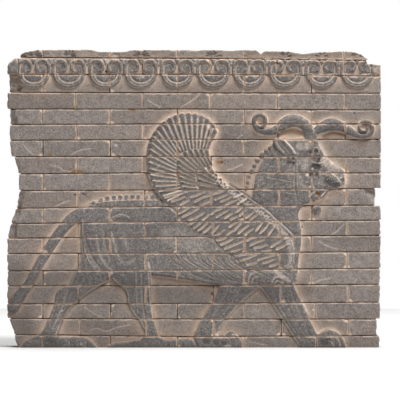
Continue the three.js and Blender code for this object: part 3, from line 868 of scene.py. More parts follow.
@dataclass
class Wing:
    """The raised wing: fans of long feathers, rows of coverts and the curled leading edge."""

    level: float = 16.0
    outline: Outline = (
        (106, 1096), (90, 1124), (45, 1156), (-30, 1168), (-110, 1152), (-176, 1104), (-214, 1046),
        (-232, 960), (-225, 870), (-203, 815), (-180, 782), (-150, 741), (-126, 712), (-75, 667),
        (-30, 622), (25, 580), (90, 542), (155, 482), (235, 427), (268, 398), (340, 386), (440, 382),
        (486, 402), (500, 455), (494, 515), (468, 575), (415, 635), (340, 690), (190, 790), (132, 835),
        (94, 885), (70, 960), (74, 1030),
    )
    coverts: Outline = (
        (-196, 792), (-154, 741), (-127, 708), (-104, 702), (-84, 664), (-52, 640), (-34, 626), (-10, 594),
        (28, 576), (62, 558), (92, 548), (112, 516), (130, 498), (158, 478), (206, 462), (236, 428),
        (266, 400), (340, 390), (440, 388), (484, 430), (490, 500), (462, 575), (400, 635), (312, 700),
        (206, 770), (150, 806), (100, 800),
    )
    grooves: Sequence[Outline] = (
        [(-143, 750), (-98, 762), (-43, 776)], [(-110, 730), (-77, 740), (-52, 750)], [(-64, 715),
        (-41, 728), (-26, 734)], [(-15, 752), (10, 759), (46, 773)], [(8, 730), (51, 751), (74, 756)],
        [(33, 709), (53, 718), (77, 728)], [(95, 766), (123, 774), (140, 778)], [(108, 740), (133, 750),
        (159, 760)], [(136, 730), (159, 738), (180, 748)], [(162, 714), (185, 726), (205, 733)],
        [(200, 750), (220, 758), (235, 765)], [(220, 718), (240, 730), (255, 740)], [(-75, 670), (-52, 682),
        (-31, 694)], [(-57, 652), (-5, 678), (18, 690)], [(-20, 637), (30, 660), (43, 669)], [(46, 638),
        (62, 651), (72, 660)], [(90, 668), (108, 682), (133, 692)], [(115, 654), (136, 666), (167, 684)],
        [(157, 648), (172, 658), (187, 668)], [(183, 636), (194, 645), (210, 652)], [(207, 676), (225, 686),
        (235, 696)], [(230, 660), (248, 676), (255, 682)], [(261, 650), (282, 663), (290, 670)],
        [(282, 639), (297, 650), (312, 660)], [(22, 586), (35, 593), (60, 615)], [(49, 575), (67, 588),
        (82, 603)], [(94, 575), (110, 592), (120, 605)], [(105, 558), (125, 566), (148, 584)], [(163, 560),
        (182, 574), (190, 580)], [(179, 604), (192, 614), (207, 621)], [(200, 584), (217, 602), (235, 619)],
        [(224, 572), (245, 589), (268, 606)], [(258, 563), (273, 578), (289, 588)], [(312, 585), (332, 612),
        (340, 622)], [(332, 574), (353, 592), (371, 614)], [(371, 560), (387, 584), (399, 599)],
        [(118, 537), (141, 542), (157, 547)], [(135, 514), (175, 532), (196, 544)], [(156, 494), (210, 516),
        (240, 529)], [(187, 476), (212, 484), (233, 492)], [(266, 535), (284, 545), (310, 552)],
        [(282, 512), (310, 524), (343, 535)], [(304, 498), (332, 502), (356, 510)], [(340, 478), (360, 482),
        (380, 486)], [(387, 504), (412, 520), (451, 542)], [(414, 492), (438, 502), (461, 514)],
        [(210, 454), (243, 464), (284, 466)], [(232, 432), (262, 443), (308, 462)], [(266, 412), (284, 417),
        (311, 424)], [(322, 438), (340, 444), (396, 460)], [(349, 422), (372, 428), (392, 437)],
        [(381, 407), (401, 412), (412, 416)], [(-22, 614), (-4, 626), (10, 634)], [(2, 596), (14, 606),
        (30, 618)],
    )
    covert_proud: float = 24.0
    groove_half: float = 5.8
    groove_taper: tuple[float, ...] = (1.1, 1.0, 0.8, 0.4)
    groove_depth: float = 9.0
    groove_run: float = 11.0
    edge_proud: float = 25.0
    fan_step: float = 5.0
    curl_count: int = 42
    fresh_curls: int = 29
    curl_aside: float = 9.0
    curl_height: float = 3.5
    edge_line: Line = (
        (92, 868, 8), (126, 828, 12), (172, 785, 14), (218, 752, 15), (266, 718, 15), (314, 685, 16),
        (358, 652, 16), (392, 620, 17), (424, 592, 17), (456, 560, 17), (474, 522, 17), (482, 480, 17),
        (480, 440, 16), (470, 400, 12),
    )
    ridge_line: Line = (
        (176, 806, 2), (202, 790, 4), (230, 771, 5), (280, 738, 5), (330, 705, 5), (376, 671, 5),
        (404, 642, 5), (432, 620, 5), (476, 579, 5), (492, 562, 3),
    )

    def fans(self) -> list[Feathers]:
        """The three fans of long feathers, the outermost first."""
        outer = Feathers(
            24,
            [(106, 1092), (88, 1126), (48, 1156), (0, 1170), (-60, 1170), (-118, 1152), (-172, 1112),
             (-210, 1060), (-230, 1000), (-236, 930), (-229, 865), (-208, 812), (-172, 765), (-132, 720)],
            [(70, 1000), (50, 1000), (30, 997), (10, 992), (-10, 990), (-30, 985), (-50, 985), (-70, 980),
             (-80, 965), (-83, 930), (-83, 890), (-80, 850), (-65, 810), (-40, 770)],
            5.4, 12.6, self.level, 7.0, 3.0,
        )
        second = Feathers(
            12,
            [(60, 992), (15, 994), (-25, 988), (-60, 972), (-82, 945), (-86, 910), (-80, 870), (-72, 826),
             (-60, 798)],
            [(85, 925), (65, 915), (45, 905), (20, 895), (10, 880), (5, 865), (5, 845), (5, 818), (12, 796)],
            4.4, 11.0, self.level + 3.0, 8.0, 2.0,
        )
        third = Feathers(
            5,
            [(70, 905), (30, 902), (12, 872), (18, 828), (26, 802)],
            [(112, 862), (104, 850), (108, 828), (122, 808), (122, 796)],
            4.6, 12.0, self.level + 4.0, 8.6, 1.0,
        )
        return [outer, second, third]

    def carve(self, carving: Carving) -> None:
        """Carves the wing.

        Args:
            carving: the wall's fields.
        """
        carving.slab(closed_outline(self.outline), self.level, 7, crown=2)
        rim = [(x, z, 8) for x, z in self.outline[:13]]
        carving.mark("stain_and_shade", rim, 0.3)
        carving.mark("clean", rim, 0.3)
        # The wing's lower-left rim faces away from the light: dust and painted shade are kept off it and a
        # pale line is painted along it, painted light that lifts it out of its shade.
        under = [(x - 4, z - 5, 6) for x, z in self.outline[8:22]]
        carving.mark("clean", [(x, z, 15) for x, z, _ in under], 1.0)
        carving.mark("pale", under[:6], 0.7)
        carving.mark("pale", under[5:], 0.3)
        for number, fan in enumerate(self.fans()):
            if number:
                carving.cut([(x, z, 7) for x, z in fan.rims], self.fan_step)
            fan.carve(carving)
        self.carve_coverts(carving)
        self.carve_edge(carving)

    def carve_coverts(self, carving: Carving) -> None:
        """Carves the small slanting feathers: one raised field, cut by the lines between them.

        Args:
            carving: the wall's fields.
        """
        carving.slab(np.array(self.coverts, float), self.covert_proud, 8)
        carving.wash("stain_and_shade", np.array(self.coverts, float), 0.10)
        # The lower-left rim faces away from the light: dust and painted shade are kept off it and a pale
        # line is painted along it, painted light that lifts it out of its shade.
        carving.mark("clean", [(x - 4, z - 6, 15) for x, z in self.coverts[:18]], 1.0)
        carving.mark("pale", [(x, z, 6) for x, z in self.coverts[:18]], 0.35)
        for line in self.grooves:
            (x, z), _, (end_x, end_z) = line
            length = math.hypot(end_x - x, end_z - z)
            along = ((end_x - x) / length, (end_z - z) / length)
            reach = [*line, (end_x + self.groove_run * along[0], end_z + self.groove_run * along[1])]
            stations = [(*place, self.groove_half * share) for place, share in zip(reach, self.groove_taper)]
            carving.cut(stations, self.groove_depth, steps=3)
            carving.mark("groove", [(px, pz, 1.25 * half) for px, pz, half in stations], 1.0)
            # a painted shadow beside each groove, on the feather below it
            side = (7.5 * along[1], -7.5 * along[0])
            shadow = [(px + side[0], pz + side[1], half) for px, pz, half in stations]
            carving.mark("stain_and_shade", shadow, carving.random.uniform(0.55, 0.85))
            bright = [(px - 0.2 * side[0], pz - 0.2 * side[1], 0.8 * half) for px, pz, half in stations]
            carving.mark("pale", bright, 0.95)
            # a painted shadow at the rounded tip of each feather
            tip = (x - 3 * along[0] + 11 * along[1], z - 3 * along[1] - 11 * along[0])
            carving.mark("stain_and_shade", [(tip[0] - 3, tip[1], 9), (tip[0] + 8, tip[1] + 3, 9)], 0.65)

    def carve_edge(self, carving: Carving) -> None:
        """Carves the band of small curls along the leading edge and the ridge outside it.

        Args:
            carving: the wall's fields.
        """
        carving.band([(x - 4, z - 6, 9) for x, z, _ in self.ridge_line], self.edge_proud - 1.0, Section.FLAT)
        carving.band(self.ridge_line, self.edge_proud + 1.0, Section.ROUND)
        carving.mark("pale", self.ridge_line[4:], 0.6)
        carving.mark("stain_and_shade", [(x + 5, z + 8, 8) for x, z, _ in self.ridge_line], 0.45)
        carving.mark("clean", [(x + 6, z + 10, 14) for x, z, _ in self.ridge_line], 0.7)
        carving.mark("clean", [(x - 10, z - 14, 14) for x, z, _ in self.edge_line], 1.0)
        carving.band(self.edge_line, self.edge_proud, Section.FLAT)
        # The curled band is pale grey, and this pale also stands as its painted highlight.
        carving.mark("pale", self.edge_line[:11], 0.6)
        carving.mark("pale", self.edge_line[9:], 0.4)
        line = curve_through(self.edge_line, 6)
        spots = evenly(line[:, :2], self.curl_count)
        across = np.gradient(spots, axis=0)
        across /= np.hypot(*across.T)[:, None]
        for i, (place, along) in enumerate(zip(spots, across)):
            fade = 1.0 if i < self.fresh_curls else 0.45
            for aside in (-self.curl_aside, self.curl_aside) if i % 2 else (0.0,):
                aside += carving.random.uniform(-2.5, 2.5)
                x, z = place[0] - along[1] * aside, place[1] + along[0] * aside
                carving.bead((x, z), carving.random.uniform(7.0, 9.5), self.curl_height,
                             ground=self.edge_proud - 1.0)
                carving.spot("pale", (x - 3, z + 4), 5.0, fade * carving.random.uniform(0.4, 1.0))
                carving.pit((x, z), carving.random.uniform(4.2, 6.4), 5.0 * fade,
                            stain_and_shade=fade * carving.random.uniform(0.7, 1.0))


@dataclass
class Head:
    """Neck, head, face, ear and the curls of the mane, as the worn face shows them."""

    neck_proud: float = 17.0
    head_proud: float = 20.0
    fresh_crest: int = 6
    neck: Outline = (
        (290, 720), (298, 790), (306, 850), (322, 895), (350, 948), (388, 996), (432, 1036), (500, 1046),
        (600, 1042), (600, 940), (585, 740), (548, 712), (524, 670), (532, 610), (534, 570), (455, 540),
        (340, 610),
    )
    head: Outline = (
        (530, 1044), (530, 1044), (616, 1044), (616, 1044), (628, 1005), (642, 980), (662, 955), (684, 928),
        (706, 914), (732, 898), (750, 884), (758, 862), (758, 836), (750, 812), (728, 800), (706, 783),
        (676, 778), (660, 764), (640, 744), (626, 736), (604, 736), (586, 740), (578, 752), (580, 775),
        (560, 800), (520, 840), (503, 940), (515, 1010),
    )
    ear: Outline = (
        (396, 1036), (396, 1036), (406, 1046), (440, 1046), (466, 1022), (492, 990), (508, 962), (508, 962),
        (446, 962), (420, 980), (402, 1008),
    )
    crest: Outline = (
        (382, 998), (362, 982), (341, 965), (318, 937), (302, 910), (289, 884), (276, 857), (270, 826),
        (265, 800),
    )

    def carve(self, carving: Carving) -> None:
        """Carves the neck and the head.

        Args:
            carving: the wall's fields.
        """
        carving.slab(closed_outline(self.neck), self.neck_proud, 30, crown=4, reach=90)
        carving.slab(closed_outline(self.head), self.head_proud, 14, crown=3, reach=60)
        carving.mark("clean", [(620, 1030, 12), (650, 985, 16), (690, 935, 16), (745, 900, 14)], 0.5)
        for i, (x, z) in enumerate(self.crest):
            fresh = i < self.fresh_crest
            carving.bead((x, z), 12.5 if fresh else 9.0, 8.0 if fresh else 4.0, ground=1.0)
            # painted shade on the lower side of each bead
            carving.mark("stain_and_shade", [(x - 3, z - 5, 7), (x + 3, z - 5, 7)], 0.22 if fresh else 0.0)
        carving.mark("clean", [(292, 740, 16), (306, 850, 16), (350, 948, 16), (396, 1010, 14)], 0.65)
        self.carve_mane(carving)
        self.carve_ear(carving)
        self.carve_eye(carving)
        self.carve_muzzle(carving)
        self.carve_jaw(carving)

    def carve_mane(self, carving: Carving) -> None:
        """Carves the groove behind the cheek, the small curls and the locks of the chest.

        Args:
            carving: the wall's fields.
        """
        groove = [(500, 952, 5), (501, 870, 9), (502, 800, 9), (510, 758, 9), (516, 706, 8)]
        carving.cut(groove, 4.0)
        # painted shade in the groove
        carving.mark("stain_and_shade", [(x, z, 1.1 * half) for x, z, half in groove], 0.28)
        carving.mark("pale", [(514, 940, 4), (516, 870, 5), (518, 800, 4)], 0.3)
        # each curl is a hole, dark with painted shade
        for x, z, radius in ((470, 924, 7), (482, 925, 6), (496, 922, 8), (494, 946, 7), (472, 948, 7)):
            carving.bead((x, z), radius + 4, 3.0, ground=self.neck_proud + 3)
            carving.pit((x, z), radius, 5.0, stain_and_shade=0.3)
            carving.spot("stain_and_shade", (x, z), 1.15 * radius, 1.0)
        for k in range(4):
            x, z = 335 + 40 * k, 862 - 9 * k
            lock = [(x, z, 3), (x + 40, z - 14 + 2 * k, 5), (x + 84, z - 18 + 2 * k, 3)]
            carving.cut(lock, 1.6)
            carving.cut([(px + 6, pz - 60, half) for px, pz, half in lock], 1.4)

    def carve_ear(self, carving: Carving) -> None:
        """Carves the pricked ear: a dark outline and a dark fold, both grooves with painted shade, a pale
        blade and a bright rim beside the fold.

        Args:
            carving: the wall's fields.
        """
        carving.slab(closed_outline(self.ear), self.head_proud + 5, 5)
        outline = [(395, 1032, 3), (399, 1014, 4), (409, 998, 4), (421, 982, 4), (435, 968, 4),
                   (446, 962, 3)]
        fold = [(430, 1036, 3), (445, 1014, 4.5), (465, 992, 4.5), (480, 970, 3)]
        rim = [(448, 1040, 4), (468, 1020, 5), (488, 998, 5), (508, 968, 4)]
        for line, stain_and_shade in ((outline, 0.75), (fold, 0.75)):
            carving.furrow(line, 4.5, stain_and_shade)
        # painted shade beside the fold
        carving.mark("stain_and_shade", [(444, 1032, 7), (466, 1008, 9), (488, 980, 8)], 0.35)
        carving.rib(rim, 3.0, 0.95)
        carving.mark("pale", [(412, 1030, 4), (424, 1004, 5), (450, 975, 5)], 0.4)
        # a ridge with painted shade on its left side and a painted highlight on its right, the side towards
        # the light
        carving.band([(422, 1040, 3), (423, 1056, 4), (424, 1072, 3)], 14.0, Section.ROUND)
        carving.mark("stain_and_shade", [(420, 1040, 5), (422, 1056, 6), (423, 1066, 4)], 0.7)
        carving.mark("pale", [(434, 1048, 5), (432, 1064, 5), (428, 1080, 4)], 0.8)

    def carve_eye(self, carving: Carving) -> None:
        """Carves the curls of the brow, the lid and the sunken eye with its lashes of shadow.

        Args:
            carving: the wall's fields.
        """
        # the brow's curls are hollows, dark with painted shade
        for x, z, radius, stain_and_shade in (
            (584, 976, 10, 1.0), (609, 982, 10, 0.9), (634, 980, 6, 0.5), (641, 972, 5, 0.6),
            (621, 948, 12, 1.0), (616, 930, 7, 0.9), (597, 951, 9, 0.85), (585, 865, 10, 1.0),
            (613, 866, 9, 0.95),
        ):
            carving.bead((x, z), radius, -3.5)
            carving.spot("stain_and_shade", (x, z), 1.15 * radius, stain_and_shade)
        for x, z, radius in ((608, 983, 17), (622, 936, 11)):
            angles = np.linspace(-0.4, 3.5, 7)
            turn = [(x + radius * math.cos(a), z + radius * math.sin(a), 3.5) for a in angles]
            carving.rib(turn, 3.0, 0.5)
        lid = [(575, 925, 3), (585, 928, 4), (598, 923, 4), (621, 920, 4), (637, 923, 4), (650, 930, 4),
               (662, 939, 4), (666, 948, 3)]
        carving.band(lid, 2.4, Section.ROUND, Way.ADD)
        carving.mark("pale", lid[:4], 0.4)
        carving.mark("pale", lid[3:], 0.8)
        carving.mark("stain_and_shade", [(600, 941, 14), (622, 940, 14)], 0.45)
        for area, amount in (
            ([(640, 940, 12), (665, 915, 30), (715, 888, 24)], 0.44),
            ([(520, 925, 20), (556, 930, 24), (550, 900, 22)], 0.36),
            ([(525, 1005, 26), (562, 1005, 28)], 0.36),
            ([(736, 872, 16), (744, 852, 14)], 0.28),
            ([(530, 850, 16), (540, 820, 20), (560, 800, 16)], 0.16),
        ):
            carving.mark("pale", area, amount)
        # the sunken eye, dark with painted shade
        carving.bead((608, 902), 22, -6.0, squash=0.7)
        carving.mark("stain_and_shade", [(601, 904, 23), (609, 904, 26), (618, 904, 23)], 1.0)
        # the pale spot at the eye's lower left, at (591, 894), is its painted highlight
        carving.clear("stain_and_shade", (591, 894), 8)
        for x, z, radius, pale in (
            (591, 894, 4, 1.0), (566, 862, 8, 1.0), (601, 871, 4, 0.6), (628, 878, 4, 0.9),
            (572, 852, 4, 0.5),
        ):
            carving.bead((x, z), radius, 2.5, ground=self.head_proud)
            carving.spot("pale", (x, z), radius, pale)

    def carve_muzzle(self, carving: Carving) -> None:
        """Carves the bridge of the nose, the swollen muzzle with its whisker beds, and the nostril.

        Args:
            carving: the wall's fields.
        """
        bridge = [(662, 940, 7), (689, 924, 10), (712, 918, 10), (730, 902, 9), (744, 886, 7), (751, 879, 5)]
        carving.band(bridge, 2.5, Section.SOFT, Way.ADD)
        carving.mark("pale", bridge, 0.3)
        carving.spot("pale", (688, 921), 10, 0.7)
        carving.mark("stain_and_shade", [(672, 895, 9), (700, 890, 12), (730, 880, 8)], 0.2)
        carving.bead((690, 832), 46, 9.0, ground=self.head_proud - 1, squash=0.84)
        contour = [(657, 875, 3), (675, 876, 4), (693, 864, 5), (709, 852, 5), (723, 837, 5), (732, 823, 4),
                   (732, 816, 4)]
        carving.rib(contour, 4.0, 0.75)
        pad = [(662, 842, 18), (672, 834, 26), (690, 822, 27), (706, 817, 23), (722, 817, 14)]
        carving.mark("stain_and_shade", pad, 0.8)
        carving.mark("stain_and_shade", [(668, 850, 10), (690, 842, 12), (708, 832, 10)], 0.45)
        for x, z in (
            (679, 855), (674, 845), (687, 848), (694, 841), (702, 839), (701, 827), (712, 830),
            (719, 827), (684, 838),
            (668, 858), (692, 854), (664, 840), (690, 826),
        ):
            ground = float(carving.sample(carving.height, np.array(x), np.array(z)))
            carving.bead((x, z), 4.5, 2.8, ground=ground - 0.5)
            carving.clear("stain_and_shade", (x, z), 5.5)
            carving.spot("pale", (x, z), 3.0, 0.25)
        rim = [(754, 882, 3), (755, 850, 4), (754, 824, 4), (748, 810, 4), (730, 804, 3)]
        carving.band(rim, 3.0, Section.ROUND, Way.ADD)
        carving.mark("pale", [(x, z, 1.5 * half) for x, z, half in rim], 0.8)
        # the nostril and a small hole under it, dark with painted shade, with a brown painted shadow in the
        # nostril
        carving.pit((740, 838), 11, 5.0, squash=1.5, stain_and_shade=0.45)
        carving.bead((733, 848), 6, 4.0, ground=self.head_proud)
        carving.clear("stain_and_shade", (733, 848), 7)
        carving.spot("pale", (733, 848), 6, 0.8)
        carving.spot("earth_and_shade", (744, 839), 5, 0.35)
        carving.pit((736, 823), 6, 3.0, stain_and_shade=0.55)
        carving.spot("pale", (741, 813), 4.5, 0.6)

    def carve_jaw(self, carving: Carving) -> None:
        """Carves the open mouth, the tongue, the chin's boss and the tuft under it.

        Args:
            carving: the wall's fields.
        """
        mouth = [(664, 788, 4), (690, 793, 8), (714, 796, 7), (730, 806, 4)]
        # the open mouth, dark with painted shade
        carving.furrow(mouth, 6.0, 0.55)
        lip = [(666, 775, 3), (689, 776, 4), (707, 782, 4), (721, 793, 4), (731, 799, 3)]
        carving.rib(lip, 3.0, 0.55)
        # two hollows by the chin, dark with painted shade and brown painted shadow
        carving.pit((622, 769), 15, 9.0, squash=0.8, stain_and_shade=0.3)
        carving.mark("earth_and_shade", [(611, 773, 11), (623, 769, 13), (628, 758, 7)], 1.0)
        carving.pit((598, 736), 8, 4.0, stain_and_shade=0.2)
        carving.mark("earth_and_shade", [(592, 741, 6), (600, 735, 8)], 0.9)
        tongue = [(666, 784, 6), (650, 766, 8), (636, 750, 7)]
        carving.band(tongue, self.head_proud + 5, Section.ROUND)
        carving.mark("stain_and_shade", [(664, 775, 5), (652, 762, 5), (638, 748, 4)], 0.35)
        carving.mark("pale", [(657, 779, 3), (645, 767, 3.5), (632, 755, 3)], 0.65)
        carving.mark("pale", [(671, 770, 3), (652, 750, 3.5), (632, 737, 3)], 0.65)
        carving.bead((596, 757), 15, 6.0, ground=self.head_proud - 3)
        carving.spot("stain_and_shade", (596, 757), 12, 0.2)
        carving.spot("pale", (625, 745), 8, 0.4)
        chin = [(605, 779, 3), (590, 770, 3.5), (582, 753, 4), (581, 733, 4), (588, 714, 3)]
        carving.rib(chin, 2.5, 0.6)
        carving.bead((615, 688), 22, 11.0, ground=2.0, squash=1.15)
        carving.mark("stain_and_shade", [(604, 686, 15), (622, 690, 15)], 0.5)
        for x in (606, 618, 628):
            carving.cut([(x, 706, 2), (x + 2, 688, 3), (x - 2, 672, 2)], 3.0)


@dataclass
class Horns:
    """The two ribbed horns, which bow outwards and end in a curl."""

    proud: float = 19.0
    crest_depth: float = 1.6
    rib_depth: float = 1.2
    left: Line = (
        (584, 1036, 36), (576, 1078, 31), (558, 1108, 29), (520, 1130, 31), (482, 1132, 33),
        (448, 1116, 30), (418, 1090, 25), (380, 1078, 19), (346, 1078, 15), (315, 1091, 13),
        (302, 1115, 11), (301, 1141, 11), (315, 1159, 10), (336, 1162, 10), (354, 1148, 10),
        (356, 1125, 10), (344, 1106, 9), (326, 1103, 8), (315, 1115, 6),
    )
    right: Line = (
        (608, 1082, 20), (642, 1100, 28), (680, 1114, 34), (715, 1110, 29), (750, 1098, 24),
        (780, 1080, 22), (808, 1065, 16), (835, 1057, 13), (864, 1060, 12), (886, 1076, 11),
        (892, 1100, 10), (882, 1120, 10), (863, 1128, 10), (842, 1124, 10), (828, 1109, 9), (830, 1090, 8),
        (844, 1082, 7), (860, 1086, 6), (865, 1098, 6),
    )

    def carve(self, carving: Carving) -> None:
        """Carves both horns and their faint ribs.

        Args:
            carving: the wall's fields.
        """
        # brown painted shadow under each horn
        for shade in (
            [(425, 1062, 12), (480, 1080, 20), (540, 1068, 18)],
            [(650, 1054, 14), (700, 1070, 20), (755, 1060, 13)],
        ):
            carving.mark("earth_and_shade", shade, 0.62)
            carving.mark("stain_and_shade", [(x, z + 4, 0.8 * half) for x, z, half in shade], 0.35)
        carving.mark("pale", [(592, 1098, 4), (604, 1074, 5), (620, 1050, 5)], 0.5)
        for horn in (self.left, self.right):
            carving.band(horn, self.proud, Section.ROUND)
            carving.mark("clean", [(x, z + 0.8 * half, 12) for x, z, half in horn[1:14]], 0.65)
            line = curve_through(horn, 4)
            tail = horn[7:-1] if horn is self.left else horn[-9:-4]
            carving.mark("stain_and_shade", [(x, z, half) for x, z, half in tail], 0.50)
            # painted shade over each horn, heavier towards its lower edge
            carving.mark("stain_and_shade", [(x, z - 0.2 * half, 0.9 * half) for x, z, half in horn[1:12]], 0.26)
            carving.cut([(x, z, 3.2) for x, z, _ in horn[1:-4]], self.crest_depth)
            for x, z, half in line[8:44:3]:
                across, up = 0.3 * half, 0.8 * half
                carving.cut([(x - across, z - up, 2.0), (x + across, z + up, 2.0)], self.rib_depth, steps=1)


@dataclass
class Frieze:
    """Hanging bowls, a pair of inward curls over each, and worn buds on the coping."""

    count: int = 10
    pitch: float = 180.0
    first: float = -803.0
    bowl_top: float = 1364.0
    frieze_top: float = 1444.0
    outer_ring: Station = (71.0, 58.0, 8.5)
    inner_ring: Station = (57.0, 45.0, 7.0)
    disc: Point = (49.0, 38.0)
    ring_height: float = 13.0
    volute_offset: float = 44.0
    volute_radius: float = 33.0
    volute_centre: float = 1403.0
    volute_half: float = 8.5
    end_block: Outline = ((-934, 1372), (-934, 1400), (-922, 1424), (-900, 1436), (-884, 1434), (-880, 1372))
    end_groove: Line = ((-877, 1370, 4), (-876, 1404, 5), (-879, 1438, 4))
    end_pits: Line = ((-905, 1308, 9), (-877, 1288, 8), (-890, 1345, 6))
    petals: tuple[float, ...] = (1.0, 1.0, 0.2, 1.0, 0.4, 1.0, 0.3, 1.0, 0.9, 0.9)

    def half_ring(self, x: float, half_width: float, drop: float, band: float) -> Line:
        """The centreline of a hanging half ring.

        Args:
            x: its middle.
            half_width: half its width.
            drop: how far it hangs.
            band: half the width of its band.

        Returns:
            Its stations.
        """
        angles = np.linspace(math.pi, 2 * math.pi, 13)
        return [(x + half_width * math.cos(a), self.bowl_top + drop * math.sin(a), band) for a in angles]

    def carve(self, carving: Carving) -> None:
        """Carves the three courses of the frieze.

        Args:
            carving: the wall's fields.
        """
        for i in range(self.count):
            x = self.first + i * self.pitch + carving.random.uniform(-3, 3)
            self.carve_bowl(carving, x)
            self.carve_volute(carving, x - self.volute_offset, -1)
            self.carve_volute(carving, x + self.volute_offset, 1)
            self.carve_gap(carving, x + self.pitch / 2)
            self.carve_bud(carving, x, self.petals[i])
        carving.slab(closed_outline(self.end_block), 10.0, 12, crown=3)
        carving.furrow(self.end_groove, 5.0, 0.7)
        for x, z, radius in self.end_pits:
            carving.pit((x, z), radius, 4.0, stain_and_shade=0.5)

    def carve_bowl(self, carving: Carving, x: float) -> None:
        """Carves a bowl: two nested rings and the disc that they hold.

        Args:
            carving: the wall's fields.
            x: the bowl's middle.
        """
        carving.band(self.half_ring(x, *self.outer_ring), self.ring_height, Section.ROUND)
        carving.band(self.half_ring(x, *self.inner_ring), self.ring_height - 1.0, Section.ROUND)
        angles = np.linspace(math.pi, 2 * math.pi, 15)
        half, drop = self.disc
        disc = [(x + half * math.cos(a), self.bowl_top + drop * math.sin(a)) for a in angles]
        carving.slab(np.array(disc), 6.0, 6, crown=2, reach=30)
        carving.mark("pale", self.half_ring(x, *self.inner_ring[:2], 4.0), 0.55)

    def carve_volute(self, carving: Carving, x: float, turn: int) -> None:
        """Carves one curl: a leg that rises from the bowl, an arch, and a small hook inside it.

        Args:
            carving: the wall's fields.
            x: the curl's middle.
            turn: 1 where the leg stands on the right, -1 where it stands on the left.
        """
        stations = [(x + turn * self.volute_radius * 1.05, self.bowl_top + 4, self.volute_half)]
        for k in range(9):
            angle = math.radians(215 * k / 8)
            reach = self.volute_radius * (1.0 - 0.10 * k / 8)
            place = (x + turn * reach * math.cos(angle), self.volute_centre + reach * math.sin(angle))
            stations.append((*place, self.volute_half))
        carving.band(stations, 12.0, Section.ROUND, steps=3)
        groove = [(sx, sz, 2.6) for sx, sz, _ in stations]
        carving.cut(groove, 3.6, steps=3)
        carving.bead((stations[-1][0] + turn * 5, stations[-1][1] - 3), 8.0, 9.0)
        carving.slab(np.array([
            (x - 22, self.bowl_top + 8), (x + 22, self.bowl_top + 8), (x + 20, self.volute_centre + 6),
            (x, self.volute_centre + 18), (x - 20, self.volute_centre + 6),
        ]), 4.0, 6)

    def carve_gap(self, carving: Carving, x: float) -> None:
        """Carves the wedge between two motifs.

        Args:
            carving: the wall's fields.
            x: its middle.
        """
        top = self.frieze_top
        wedge = np.array([(x - 20, top), (x + 20, top), (x + 5, top - 36), (x - 5, top - 36)])
        carving.slab(wedge, 6.0, 5)
        carving.mark("pale", [(x, top - 4, 10), (x, top - 24, 5)], 0.4)

    def carve_bud(self, carving: Carving, x: float, left: float) -> None:
        """Carves the worn petals over a motif, and the small bud that hangs between its curls.

        Args:
            carving: the wall's fields.
            x: its middle.
            left: how much of the petals wear has left.
        """
        top = self.frieze_top
        bud = np.array([(x - 12, top), (x + 12, top), (x + 7, top - 20), (x, top - 32), (x - 7, top - 20)])
        carving.slab(bud, 8.0, 5)
        for k in range(7):
            angle = math.radians(8 + 27 * k)
            near, far = 14.0, 34.0 + 8 * carving.random.uniform(-1, 1)
            if carving.random.uniform() < 0.2:
                continue
            px, pz = math.cos(angle), 0.75 * math.sin(angle)
            foot = top + 10
            stroke = [(x + near * px, foot + near * pz, 5.5), (x + far * px, foot + far * pz, 7.5)]
            carving.furrow(stroke, 4.5 * left, left * carving.random.uniform(0.65, 1.0), steps=1)


